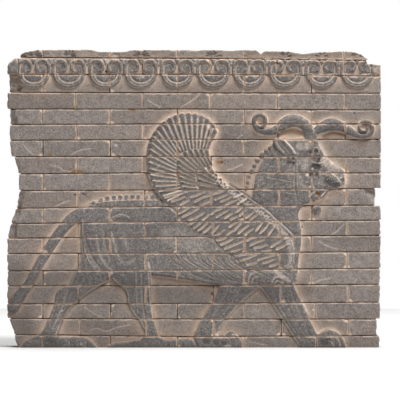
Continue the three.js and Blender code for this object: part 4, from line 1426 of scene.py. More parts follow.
@dataclass
class Weathering:
    """Losses, cracks, chips and spots where the panel has them, the wear all over it, and painted shade on
    the slopes that face away from the light.
    """

    cracks: Sequence[Line] = (
        [(-65, 1202, 3), (-20, 1228, 4), (25, 1262, 3)], [(-230, 1238, 3), (-170, 1202, 3)], [(165, 888, 3),
        (205, 900, 4), (245, 918, 3)], [(680, 558, 3), (716, 582, 4), (750, 618, 3)], [(625, 532, 3),
        (670, 508, 4), (720, 492, 3)], [(600, 322, 3), (640, 340, 4), (685, 347, 3)], [(-548, 202, 2),
        (-510, 178, 3), (-466, 154, 3), (-420, 140, 3)], [(-525, 84, 2), (-485, 97, 3), (-440, 82, 3),
        (-380, 102, 3), (-320, 114, 2)], [(280, 30, 2), (330, 18, 3), (365, 12, 3)], [(-700, 700, 2),
        (-660, 722, 3), (-620, 735, 2)], [(205, 1030, 2), (222, 1050, 3), (242, 1062, 3)], [(-852, 1014, 2),
        (-832, 990, 3), (-800, 962, 2)], [(-612, 966, 2), (-560, 990, 3), (-498, 992, 2)], [(-722, 912, 2),
        (-672, 902, 3), (-655, 886, 3), (-600, 880, 2)],
    )
    chips: Sequence[tuple[float, float, float, float]] = (
        (-390, 1012, 10, 2), (-500, 1035, 8, 2), (-560, 20, 9, 3), (-545, 8, 12, 4), (168, 10, 14, 5),
        (-660, 185, 7, 2), (115, 494, 8, 2), (308, 490, 9, 3), (-580, 760, 8, 3), (440, 330, 12, 3),
        (-417, 690, 12, 4), (600, 190, 10, 4), (-255, 1355, 10, 3), (-440, 1440, 26, 4),
        (-395, 1452, 24, 5),
    )
    rust: Sequence[Line] = (
        [(-612, 876, 5), (-585, 882, 8), (-560, 876, 6)], [(-600, 1198, 5), (-590, 1204, 6)],
        [(-325, 1192, 5), (-300, 1186, 6)], [(-378, 958, 5), (-372, 950, 6)], [(-722, 960, 5),
        (-718, 968, 5)], [(120, 925, 6), (138, 927, 7)],
    )
    spots: Line = (
        (138, 925, 7), (-595, 763, 9), (-545, 764, 8), (-556, 768, 7), (802, 1170, 7), (700, 523, 6),
        (-130, 1260, 7), (-440, 1380, 9), (90, 268, 13), (540, 603, 6), (258, 783, 6), (-436, 1378, 7),
        (178, 628, 5), (356, 608, 5), (236, 660, 5),
    )
    streaks: Sequence[Line] = (
        [(402, 388, 9), (432, 364, 15), (476, 332, 11)], [(-224, 425, 2), (-220, 395, 6), (-212, 345, 4)],
        [(632, 1012, 12), (646, 988, 13), (655, 968, 12), (664, 958, 8)], [(-250, 915, 4), (-240, 912, 4)],
        [(-185, 902, 5), (-178, 900, 5)],
    )
    # Darker patches of the wall, each a soft band and its strength: under the belly, low on the left, on the
    # right, beside the right horn, near the top by the wing, along the foot, by the neck and on the haunch;
    # the one beside the right horn is painted shadow.
    dark_patches: Sequence[tuple[Line, float]] = (
        ([(-900, 320, 140), (-700, 300, 135), (-300, 290, 120), (100, 280, 110), (450, 290, 95),
        (560, 290, 50)], 0.36), ([(-900, 360, 120), (-880, 60, 150), (-700, 20, 70)], 0.40),
        ([(-560, 110, 120), (-300, 50, 70)], 0.30), ([(740, 580, 90), (920, 570, 100)], 0.22),
        ([(760, 1060, 45), (930, 1050, 50)], 0.28), ([(170, 1050, 60), (260, 1040, 60)], 0.18),
        ([(-560, 0, 60), (800, 0, 60)], 0.22), ([(400, 900, 70), (440, 800, 90), (480, 740, 60)], 0.14),
        ([(-470, 560, 80), (-380, 470, 90)], 0.06),
    )
    crack_depth: float = 2.2
    spot_depth: float = 3.5
    near_dust: float = 0.54
    wide_dust: float = 0.66
    glow: float = 2.7
    frieze_foot: float = 1265.0
    # strength of the painted shade, and the way towards the light in the wall's plane
    painted_shade: float = 0.26
    light_way: Point = (0.31, 0.95)
    speckle: float = 0.40
    undulation: float = 0.9
    grain: float = 0.32
    pit_depth: float = 1.3

    def carve(self, carving: Carving) -> None:
        """Adds the marks that the panel shows, then the wear all over it.

        Args:
            carving: the wall's fields.
        """
        for crack in self.cracks:
            carving.band(crack, self.crack_depth, Section.RIDGE, Way.CUT)
            carving.mark("pale", [(x, z, 1.6 * half) for x, z, half in crack], 0.3)
        for x, z, radius, depth in self.chips:
            carving.bead((x, z), radius, -depth, squash=0.8)
            carving.mark("pale", [(x - 2, z, radius), (x + 2, z, radius)], 0.45)
        for x, z, radius in self.spots:
            carving.pit((x, z), radius * 0.8, self.spot_depth, stain_and_shade=1.0)
        for streak in self.streaks:
            carving.mark("pale", streak, 0.6)
        for patch in self.rust:
            carving.mark("earth_and_shade", [(x, z, 1.8 * half) for x, z, half in patch], 1.0)
        relief, marks = carving.height.copy(), carving.marks
        marks["bedding"] = blurred(relief, 2)
        near = blurred(relief, 3) - relief
        wide = blurred(relief, 14) - relief
        dust = self.near_dust * unit((near - 0.4) / 2.6) + self.wide_dust * unit((wide - 0.6) / 7.0)
        around = 0.55 * blurred(carving.figure, 18) + 0.45 * blurred(carving.figure, 38)
        around *= 1.0 - blurred(carving.figure, 1)
        height = carving.heights()
        washed = 1.0 - 0.42 * unit((height - self.frieze_foot) / 20.0)
        washed = washed - 0.30 * unit((480.0 - height) / 120.0)
        rim = blurred(carving.figure, 4) * (1.0 - carving.figure)
        clay = unit(3.2 * rim) * (0.12 + 0.48 * unit((520.0 - height) / 150.0))
        patchy = np.clip(0.6 + 0.9 * carving.noise(45.0, 3, seed=8), 0.0, 1.3)
        clay *= patchy * (1.0 - 0.75 * marks["clean"])
        marks["earth_and_shade"] = unit(np.maximum(marks["earth_and_shade"], clay))
        kept = 1.0 - marks["clean"]
        glow = around * self.glow * washed * (1.0 + 0.5 * carving.noise(60.0, 2, seed=5))
        marks["glow"] = unit(glow) * kept
        marks["dust"] = unit(np.maximum(dust * kept, marks["groove"])) * washed
        marks["crest"] = unit((-near - 0.4) / 2.0)
        marks["raised"] = blurred(carving.figure, 1)
        marks["chipping"] = carving.noise(26.0, 4, seed=3)
        pits = np.clip(carving.noise(11.0, 3, seed=4) - 0.62, 0.0, 0.4) / 0.4
        self.darken(carving, relief)
        swell = self.undulation * (1.0 + 1.3 * marks["raised"])
        carving.height += swell * carving.noise(150.0, 4, seed=1)
        carving.height += self.grain * carving.noise(13.0, 3, seed=2) - self.pit_depth * pits

    def darken(self, carving: Carving, relief: np.ndarray) -> None:
        """Adds painted shade on the slopes that face away from the light, the speckle on the relief and the
        darker patches of the wall.

        Args:
            carving: the wall's fields.
            relief: the height before it is worn.
        """
        marks = carving.marks
        raised, stain_and_shade = marks["raised"], marks["stain_and_shade"]
        # Painted shade: darker where the relief falls away from the light, which comes from the upper right;
        # grooves and cleared places get none.
        smooth = blurred(relief, 2)
        under = self.light_way[0] * np.gradient(smooth, carving.step, axis=1)
        under += self.light_way[1] * np.gradient(smooth, carving.step, axis=0)
        stain_and_shade *= 1.0 - 0.9 * marks["groove"]
        bare = (1.0 - marks["groove"]) * (1.0 - marks["clean"])
        painted_shade = self.painted_shade * unit((under - 0.06) / 0.5) * bare
        speckle = carving.noise(10.0, 2, seed=6)
        # the dark speckle on the relief is laid in with the painted shade
        painted_shade = np.maximum(painted_shade, self.speckle * np.clip(speckle - 0.35, 0.0, 0.5) / 0.5 * raised)
        high = carving.heights()
        share = 0.15 + 0.35 * unit((high - 620.0) / 160.0)
        pale = self.speckle * share * np.clip(-speckle - 0.45, 0.0, 0.5) / 0.5 * raised
        marks["pale"] = np.maximum(marks["pale"], pale)
        ground = Carving()
        for dark_patch, amount in self.dark_patches:
            ground.mark("stain_and_shade", dark_patch, amount)
        cloud = 1.0 + 0.35 * carving.noise(120.0, 4, seed=7)
        patch_darkening = blurred(ground.marks["stain_and_shade"], 10) * cloud
        marks["stain_and_shade"] = unit(1.0 - (1.0 - np.maximum(stain_and_shade, painted_shade)) * (1.0 - patch_darkening))


@dataclass
class Bond:
    """Where the bricks and the joints of the wall lie."""

    names: tuple[str, ...] = (
        "foot", "paws", "shins", "hocks", "knees", "belly", "flank", "haunch", "coverts", "back", "beads",
        "muzzle", "eye", "ear", "horns", "curls", "bowls", "volutes", "coping",
    )
    seams: Line = (
        (65, 54, 60), (145, 142, 142), (218, 220, 227), (308, 310, 316), (383, 388, 396), (470, 472, 479),
        (546, 554, 561), (619, 631, 636), (696, 706, 712), (784, 788, 795), (868, 875, 872),
        (954, 955, 951), (1036, 1040, 1040), (1115, 1118, 1117), (1192, 1192, 1187), (1276, 1273, 1271),
        (1365, 1366, 1356), (1450, 1445, 1433),
    )
    coping: Outline = (
        (-868, 1466), (-840, 1478), (-780, 1488), (-510, 1490), (-480, 1480), (-360, 1478), (-300, 1488),
        (310, 1487), (335, 1468), (355, 1485), (480, 1480), (540, 1468), (590, 1474), (720, 1482),
        (790, 1480), (835, 1466), (865, 1444),
    )
    ends: tuple[tuple[float, float, float, float], ...] = (
        (-880, -898, 929, 929), (-898, -920, 914, 914), (-932, -935, 929, 929), (-933, -933, 928, 929),
        (-932, -932, 930, 931), (-932, -934, 932, 933), (-935, -932, 934, 934), (-932, -917, 932, 931),
        (-914, -892, 934, 930), (-888, -872, 906, 908), (-874, -872, 934, 934), (-877, -897, 934, 935),
        (-912, -920, 935, 935), (-920, -918, 935, 934), (-920, -922, 935, 935), (-932, -930, 935, 935),
        (-922, -927, 935, 935), (-933, -931, 935, 935), (-870, -866, 865, 865),
    )
    worn_corners: Outline = (
        (-936, 1402), (-924, 1424), (-905, 1440), (-880, 1455), (850, 1455), (868, 1418), (935, 1414),
    )
    odd_first: float = -756.0
    even_first: float = -596.0
    even_drift: float = 1.3
    pitch: float = 336.0
    joints: int = 5
    moved: Line = ((0, 4, 24.0), (2, 4, 16.0), (18, 4, 157.0))
    joint: float = 6.0
    bed: float = 6.0
    losses: tuple[tuple[int, int, float, float], ...] = (
        (8, -1, 45, 40), (9, -1, 30, 35), (10, -1, 30, 25), (10, 1, 10, 70), (15, -1, 30, 30),
        (17, -1, 60, 70), (18, 1, 55, 60), (19, -1, 40, 25),
    )

    def __post_init__(self) -> None:
        """Draws the small unevenness of every edge."""
        self.random = np.random.default_rng(11)
        self.knots = np.arange(LEFT - 40, RIGHT + 41, 17.0)
        self.wobble = self.random.uniform(-0.9, 0.9, (2 * len(self.names), len(self.knots)))
        self.jitter = self.random.uniform(-2.5, 2.5, (len(self.names), 6))

    def seam(self, index: int, x: np.ndarray) -> np.ndarray:
        """Height of the seam over a course.

        Args:
            index: the course under it, from 0 at the foot.
            x: where.

        Returns:
            The seam's height.
        """
        return np.interp(x, [LEFT, 0.0, RIGHT], self.seams[index])

    def floor(self, index: int, x: np.ndarray) -> np.ndarray:
        """Lower edge of a course's bricks.

        Args:
            index: the course.
            x: where.

        Returns:
            Its height.
        """
        if index == 0:
            return np.zeros_like(x)
        return self.seam(index - 1, x) + self.bed / 2 + np.interp(x, self.knots, self.wobble[2 * index])

    def ceiling(self, index: int, x: np.ndarray) -> np.ndarray:
        """Upper edge of a course's bricks.

        Args:
            index: the course.
            x: where.

        Returns:
            Its height.
        """
        if index == len(self.names) - 1:
            points = np.asarray(self.coping)
            return np.interp(x, points[:, 0], points[:, 1])
        top = self.seam(index, x) - self.bed / 2 + np.interp(x, self.knots, self.wobble[2 * index + 1])
        if index == len(self.names) - 2:
            worn = np.asarray(self.worn_corners)
            top = np.minimum(top, np.interp(x, worn[:, 0], worn[:, 1]))
        return top

    def span(self, index: int, x: float) -> tuple[float, float]:
        """Lower and upper edge of a course's bricks at one place.

        Args:
            index: the course.
            x: the place.

        Returns:
            Both heights.
        """
        place = np.array([x])
        return float(self.floor(index, place)[0]), float(self.ceiling(index, place)[0])

    def upright_joints(self, index: int) -> list[float]:
        """Where the upright joints of a course stand.

        Args:
            index: the course.

        Returns:
            Their middles, from left to right.
        """
        from_top = len(self.names) - index
        first = self.odd_first if from_top % 2 else self.even_first + self.even_drift * from_top
        shifts = {number: shift for course, number, shift in self.moved if course == index}
        return [
            first + k * self.pitch + self.jitter[index, k] + shifts.get(k, 0.0) for k in range(self.joints)
        ]

    def node(self, index: int) -> str:
        """The name of a course's node."""
        return f"course_{index + 1:02d}_{self.names[index]}"


class Shell:
    """One closed mesh under construction: grids pulled back into blocks, with values at every vertex."""

    channels = ("dust", "glow", "raised", "crest", "pale", "stain_and_shade", "worn", "earth_and_shade", "tone", "warmth")
    sharp_degrees = 50.0

    def __init__(self) -> None:
        """Starts an empty mesh."""
        self.mesh = bmesh.new()
        self.values: dict[str, list[np.ndarray]] = {name: [] for name in self.channels}

    def block(self, columns: int, rows: int, rings: int, material: int) -> tuple[list, np.ndarray]:
        """Adds a closed block: a front grid, rings behind its rim and one flat face at the back.

        Args:
            columns: cells across the front.
            rows: cells up the front.
            rings: how many rings of faces run back.
            material: index of its material.

        Returns:
            The block's vertices, and for each its column, row and ring.
        """
        start_vertex, start_face = len(self.mesh.verts), len(self.mesh.faces)
        made = bmesh.ops.create_grid(self.mesh, x_segments=columns, y_segments=rows, size=1.0)
        edges = list(dict.fromkeys(e for v in made["verts"] for e in v.link_edges if e.is_boundary))
        for _ in range(rings):
            pulled = bmesh.ops.extrude_edge_only(self.mesh, edges=edges)["geom"]
            ring = [g for g in pulled if isinstance(g, bmesh.types.BMVert)]
            bmesh.ops.translate(self.mesh, verts=ring, vec=(0.0, 0.0, -1.0))
            edges = [g for g in pulled if isinstance(g, bmesh.types.BMEdge) and g.is_boundary]
        bmesh.ops.contextual_create(self.mesh, geom=edges)
        self.mesh.verts.ensure_lookup_table()
        self.mesh.faces.ensure_lookup_table()
        vertices = self.mesh.verts[start_vertex:]
        faces = self.mesh.faces[start_face:]
        bmesh.ops.recalc_face_normals(self.mesh, faces=faces)
        for face in faces:
            face.material_index = material
            face.smooth = True
        raw = np.array([v.co for v in vertices])
        grid = np.stack([
            np.rint((raw[:, 0] + 1) / 2 * columns), np.rint((raw[:, 1] + 1) / 2 * rows), np.rint(-raw[:, 2]),
        ], axis=1).astype(int)
        return vertices, grid

    def place(self, vertices: list, x: np.ndarray, y: np.ndarray, z: np.ndarray, values: dict) -> None:
        """Moves a block's vertices to their places and keeps their values.

        Args:
            vertices: the vertices.
            x: their places in millimetres.
            y: their places in millimetres.
            z: their places in millimetres.
            values: the channels' values, 0 where one is left out.
        """
        places = np.stack([x, y, z], axis=1) * MM
        for vertex, place in zip(vertices, places):
            vertex.co = place
        for name in self.channels:
            self.values[name].append(np.broadcast_to(values.get(name, 0.0), x.shape).astype(np.float32))

    def finish(self, name: str, materials: list[bpy.types.Material]) -> bpy.types.Object:
        """Turns the mesh into an object of the scene.

        Args:
            name: the object's name.
            materials: its materials.

        Returns:
            The object.
        """
        data = bpy.data.meshes.new(name)
        if self.mesh.calc_volume(signed=True) < 0:
            bmesh.ops.reverse_faces(self.mesh, faces=self.mesh.faces[:])
        self.mesh.to_mesh(data)
        self.mesh.free()
        for channel, parts in self.values.items():
            attribute = data.attributes.new(channel, "FLOAT", "POINT")
            attribute.data.foreach_set("value", np.concatenate(parts))
        data.set_sharp_from_angle(angle=math.radians(self.sharp_degrees))
        for material in materials:
            data.materials.append(material)
        piece = bpy.data.objects.new(name, data)
        bpy.context.scene.collection.objects.link(piece)
        return piece


def cuts(length: float, cell: float, rims: tuple[float, ...]) -> np.ndarray:
    """Places of the grid lines along a length: close together at both rims, even between.

    Args:
        length: the whole length.
        cell: the spacing wanted between.
        rims: distances of the close lines from each end.

    Returns:
        The places as shares of the length.
    """
    inner = length - 2 * rims[-1]
    count = max(int(round(inner / cell)), 1)
    middle = rims[-1] + inner * np.arange(1, count) / count
    low = np.array([0.0, *rims])
    return np.concatenate([low, middle, length - low[::-1]]) / length


@dataclass
class Block:
    """The vertices of one brick while it is shaped, and the values at them."""

    index: int
    x: np.ndarray
    z: np.ndarray
    left: np.ndarray
    right: np.ndarray
    floor: np.ndarray
    ceiling: np.ndarray
    ring: np.ndarray
    first: bool
    last: bool
    top: bool
    values: dict[str, np.ndarray] = field(default_factory=dict)

    def across(self) -> tuple[np.ndarray, np.ndarray]:
        """Distances from the left and the right edge."""
        return self.x - self.left, self.right - self.x

    def upward(self) -> tuple[np.ndarray, np.ndarray]:
        """Distances from the lower and the upper edge."""
        return self.z - self.floor, self.ceiling - self.z


@dataclass
class Masonry:
    """Lays the bricks and the mortar, cut from the carved fields."""

    carving: Carving
    bond: Bond
    fine_cell: float = 2.8
    plain_cell: float = 4.6
    rims: tuple[float, ...] = (1.1, 3.0)
    arris: float = 1.4
    corner_reach: float = 9.0
    corner_fall: float = 2.5
    chip_depth: float = 6.0
    edge_rough: float = 0.7
    open_rough: float = 3.0
    lean: float = 0.7
    touching: float = 0.01
    side_rings: tuple[float, ...] = (9.0, 165.0)
    open_rings: tuple[float, ...] = (9.0, 32.0, 60.0, 92.0, 126.0, 165.0)
    mortar_inset: float = 1.2
    joint_inset: float = 3.2
    bed_inset: float = 6.0
    joint_cell: float = 4.0
    bed_cell: float = 5.0
    back_inset: float = 3.5
    back_stain: float = 0.6
    face_marks: tuple[str, ...] = ("dust", "glow", "raised", "crest", "pale", "stain_and_shade", "earth_and_shade")

    def __post_init__(self) -> None:
        """Prepares the random draws."""
        self.random = np.random.default_rng(23)

    def course(self, index: int, materials: list[bpy.types.Material]) -> bpy.types.Object:
        """Lays one course of bricks with the upright joints between them.

        Args:
            index: the course, from 0 at the foot.
            materials: the brick's and the mortar's.

        Returns:
            The course as one object.
        """
        shell = Shell()
        below_left, above_left, below_right, above_right = self.bond.ends[index]
        joints = self.bond.upright_joints(index)
        half = self.bond.joint / 2
        starts = [(below_left, above_left)] + [(x + half, x + half) for x in joints]
        stops = [(x - half, x - half) for x in joints] + [(below_right, above_right)]
        for number, (start, stop) in enumerate(zip(starts, stops)):
            self.brick(shell, index, start, stop, number == 0, number == len(joints))
        for x in joints:
            self.upright_joint(shell, index, x)
        return shell.finish(f"{self.bond.node(index)}_bricks", materials)

    def side_line(self, ends: Point, v: np.ndarray, rough: float) -> np.ndarray:
        """The upright edge of a brick.

        Args:
            ends: its place at the seam below and above.
            v: shares of the height.
            rough: how far it wanders.

        Returns:
            Its place at every share.
        """
        knots = np.linspace(0.0, 1.0, 6)
        wander = self.random.uniform(-1.0, 1.0, 6) * rough
        return ends[0] + (ends[1] - ends[0]) * v + np.interp(v, knots, wander)

    def brick(self, shell: Shell, index: int, start: Point, stop: Point, first: bool, last: bool) -> None:
        """Lays one brick.

        Args:
            shell: the course's mesh.
            index: the course.
            start: its left edge at the seam below and above.
            stop: its right edge likewise.
            first: whether it is the course's left end.
            last: whether it is the course's right end.
        """
        low, high = self.bond.span(index, (start[0] + stop[0]) / 2)
        window, _, _ = self.carving.window(np.array([(start[0], low), (stop[0], high)]), 0.0)
        top = index == len(self.bond.names) - 1
        carved = top or self.carving.figure[window].max() > 0.5
        cell = self.fine_cell if carved else self.plain_cell
        across = cuts(stop[0] - start[0], cell, self.rims)
        upward = cuts(high - low, cell, self.rims)
        rings = self.open_rings if first or last or top else self.side_rings
        vertices, grid = shell.block(len(across) - 1, len(upward) - 1, len(rings), 0)
        u, v, ring = across[grid[:, 0]], upward[grid[:, 1]], grid[:, 2]
        left = self.side_line(start, upward, self.open_rough if first else self.edge_rough)[grid[:, 1]]
        right = self.side_line(stop, upward, self.open_rough if last else self.edge_rough)[grid[:, 1]]
        x = left + (right - left) * u
        floor, ceiling = self.bond.floor(index, x), self.bond.ceiling(index, x)
        z = floor + (ceiling - floor) * v
        block = Block(index, x, z, left, right, floor, ceiling, ring, first, last, top)
        y = self.surface(block) + self.loss(block) + self.corners(block)
        lean = self.random.uniform(-self.lean, self.lean, 3)
        y += lean[0] + lean[1] * (2 * u - 1) + 0.6 * lean[2] * (2 * v - 1)
        for level, depth in enumerate(rings, start=1):
            here = ring >= level
            y[here] = np.maximum(FACE + depth, y[here] + 1.0)
        y[ring == len(rings)] = BACK
        self.roughen(block, y)
        values = block.values
        self.clear(values, ring > 1)
        values["tone"] = self.random.uniform(-1.0, 1.0)
        values["warmth"] = self.random.uniform(0.0, 1.0)
        values["worn"] = np.where(ring > 1, 0.55 * values["warmth"], values["worn"])
        shell.place(vertices, np.clip(block.x, LEFT, RIGHT), np.maximum(y, FRONT), block.z, values)

    def surface(self, block: Block) -> np.ndarray:
        """Shapes the front of a brick and reads the marks on it.

        Args:
            block: the brick.

        Returns:
            The depth of the face.
        """
        carving, x, z = self.carving, block.x, block.z
        edge_x, edge_z = np.minimum(*block.across()), np.minimum(*block.upward())
        edge = np.minimum(edge_x, edge_z)
        soft = unit(1.0 - edge / self.rims[-1])
        reach = self.corner_reach
        corner = np.hypot(np.maximum(reach - edge_x, 0), np.maximum(reach - edge_z, 0)) / reach - 1.0
        rounding = self.arris * (1.0 - np.sqrt(1.0 - soft**2)) + self.corner_fall * unit(corner)
        chipping = carving.read("chipping", x, z)
        chip = np.clip(chipping - 0.30 - edge / 13.0, 0.0, 0.7)
        values = block.values
        values.update((name, carving.read(name, x, z)) for name in self.face_marks)
        values["worn"] = unit(chip * 3.5 + 0.5 * soft)
        # Pale along each brick's top edge, laid in with the dust: dust on the ledge, and also the painted
        # highlight of the lit top arris.
        lip = unit(1.0 - (block.ceiling - z) / 6.5) * np.clip(0.75 + chipping, 0.2, 1.0)
        side = unit(1.0 - edge_x / 5.0) * unit(0.55 + 1.2 * chipping)
        values["dust"] = np.maximum(values["dust"], np.maximum(0.75 * lip, 0.70 * side))
        return FACE - carving.sample(carving.height, x, z) + rounding + self.chip_depth * chip

    def clear(self, values: dict, behind: np.ndarray, stain_and_shade: float = 0.0) -> None:
        """Takes the face's marks off what lies behind it.

        Args:
            values: the marks' values, changed here.
            behind: which vertices lie behind.
            stain_and_shade: the stain that they have instead.
        """
        for name in values:
            values[name] = np.where(behind, stain_and_shade if name == "stain_and_shade" else 0.0, values[name])

    def corners(self, block: Block) -> np.ndarray:
        """Chips a brick's corners, where the mortar of the joints shows tan.

        Args:
            block: the brick.

        Returns:
            The depth that is gone.
        """
        gone = np.zeros_like(block.x)
        values = block.values
        for side, is_open in zip(block.across(), (block.first, block.last)):
            for level in block.upward():
                radius, stretch = self.random.uniform(-10.0, 20.0), self.random.uniform(0.7, 1.6)
                if is_open or radius < 5.0:
                    continue
                share = unit(1.0 - np.hypot(side / stretch, level) / radius)
                gone += 3.2 * np.sqrt(share)
                values["glow"] = np.maximum(values["glow"], unit(2.2 * share))
                values["dust"] = np.maximum(values["dust"], np.clip(1.6 * share, 0.0, 0.8))
        return gone

    def loss(self, block: Block) -> np.ndarray:
        """Breaks off what the face at a course's end has lost, which leaves it pale.

        Args:
            block: the brick.

        Returns:
            The depth that is gone.
        """
        gone = np.zeros_like(block.x)
        values = block.values
        from_left, from_right = block.across()
        rough = self.carving.read("chipping", block.x, block.z)
        if block.first or block.last:
            edge = from_left if block.first else from_right
            gone += 5.0 * unit(1.0 - edge / (7.0 + 5.0 * rough)) ** 2
        for course, side, below, above in self.bond.losses:
            if course != block.index + 1 or not (block.first if side < 0 else block.last):
                continue
            rise, tall = block.z - block.floor, block.ceiling - block.floor
            reach = below + (above - below) * rise / tall + 9.0 * rough
            edge = from_left if side < 0 else from_right
            share = unit((reach - edge) / 14.0)
            gone += share * (9.0 + 14.0 * unit((reach - edge) / 45.0) + 2.0 * rough)
            values["raised"] = values["raised"] * (1.0 - share)
            values["worn"] = np.maximum(values["worn"], 0.8 * share)
        return gone

    def roughen(self, block: Block, y: np.ndarray) -> None:
        """Breaks up the outer ends and the top, which the wall once ran on from.

        Args:
            block: the brick, whose places change here.
            y: its places from front to back.
        """
        depth = unit((y - FACE) / (BACK - FACE))
        bulge = 7.0 * self.carving.read("chipping", 900.0 * (depth - 0.5), block.z * 1.7)
        inward = np.clip(bulge + 4.0 * np.sin(depth * math.pi), -1.0, 9.0) * (block.ring > 0)
        if block.first:
            block.x += inward * (block.x - block.left < self.touching)
        if block.last:
            block.x -= inward * (block.right - block.x < self.touching)
        if block.top:
            fall = 5.0 * self.carving.read("chipping", block.x * 1.1, 700 + 600.0 * depth)
            loose = (block.ring > 0) * (block.ceiling - block.z < self.touching)
            block.z -= np.clip(fall + 3.0, 0.0, 9.0) * loose

    def upright_joint(self, shell: Shell, index: int, joint: float) -> None:
        """Fills one upright joint with mortar.

        Args:
            shell: the course's mesh.
            index: the course.
            joint: the joint's middle.
        """
        low, high = self.bond.span(index, joint)
        vertices, grid = shell.block(3, int((high - low) / self.joint_cell), 1, 1)
        rows = grid[:, 1] / grid[:, 1].max()
        half = self.bond.joint / 2 + self.mortar_inset
        x = joint + half * (2 * grid[:, 0] / 3 - 1)
        z = low + (high - low) * rows
        y = self.mortar_face(x, z, self.joint_inset)
        y[grid[:, 2] == 1] = BACK - self.back_inset
        crossing = float(self.carving.read("raised", np.array(joint), np.array((low + high) / 2)))
        dark = self.random.uniform() < (0.65 if index < 4 else 0.12 + 0.4 * crossing)
        values = self.mortar_values(x, z, 0.78 if dark else 0.1)
        self.clear(values, grid[:, 2] == 1, self.back_stain)
        shell.place(vertices, x, y, z, values)

    def mortar_face(self, x: np.ndarray, z: np.ndarray, inset: float) -> np.ndarray:
        """Depth of the mortar's face, which follows the relief.

        Args:
            x: where.
            z: where.
            inset: how far it lies behind the bricks' face on the plain wall.

        Returns:
            The depth.
        """
        carving = self.carving
        raised = carving.read("raised", x, z)
        rough = carving.read("chipping", x * 1.9, z * 1.3)
        relief = np.maximum(carving.read("bedding", x, z), 0.0)
        return FACE - relief + inset * (1.0 - 0.35 * raised) + 1.3 * rough

    def mortar_values(self, x: np.ndarray, z: np.ndarray, shade: float) -> dict:
        """Marks on the mortar.

        Args:
            x: where.
            z: where.
            shade: how dark the joint is, 0 for the pale upright ones.

        Returns:
            The channels' values.
        """
        carving = self.carving
        raised = carving.read("raised", x, z)
        rough = carving.read("chipping", x * 0.7 + 90, z)
        return {"raised": raised, "stain_and_shade": unit(shade * (1.0 - 0.55 * raised) + 0.35 * rough)}

    def bed(self, index: int, material: bpy.types.Material) -> bpy.types.Object:
        """Spreads the mortar bed on top of a course.

        Args:
            index: the course under it.
            material: the mortar's.

        Returns:
            The bed as one object.
        """
        shell = Shell()
        lower, upper = self.bond.ends[index], self.bond.ends[index + 1]
        left, right = max(lower[1], upper[0]) + 5.0, min(lower[3], upper[2]) - 5.0
        columns = int((right - left) / self.bed_cell)
        vertices, grid = shell.block(columns, 3, 1, 0)
        x = left + (right - left) * grid[:, 0] / columns
        half = self.bond.bed / 2 + self.mortar_inset
        z = self.bond.seam(index, x) + half * (2 * grid[:, 1] / 3 - 1)
        y = self.mortar_face(x, z, self.bed_inset)
        y[grid[:, 2] == 1] = BACK - self.back_inset
        values = self.mortar_values(x, z, 0.75)
        self.clear(values, grid[:, 2] == 1, self.back_stain)
        shell.place(vertices, x, y, z, values)
        return shell.finish(f"mortar_bed_{index + 1:02d}_lime", [material])


Colour = tuple[float, float, float]


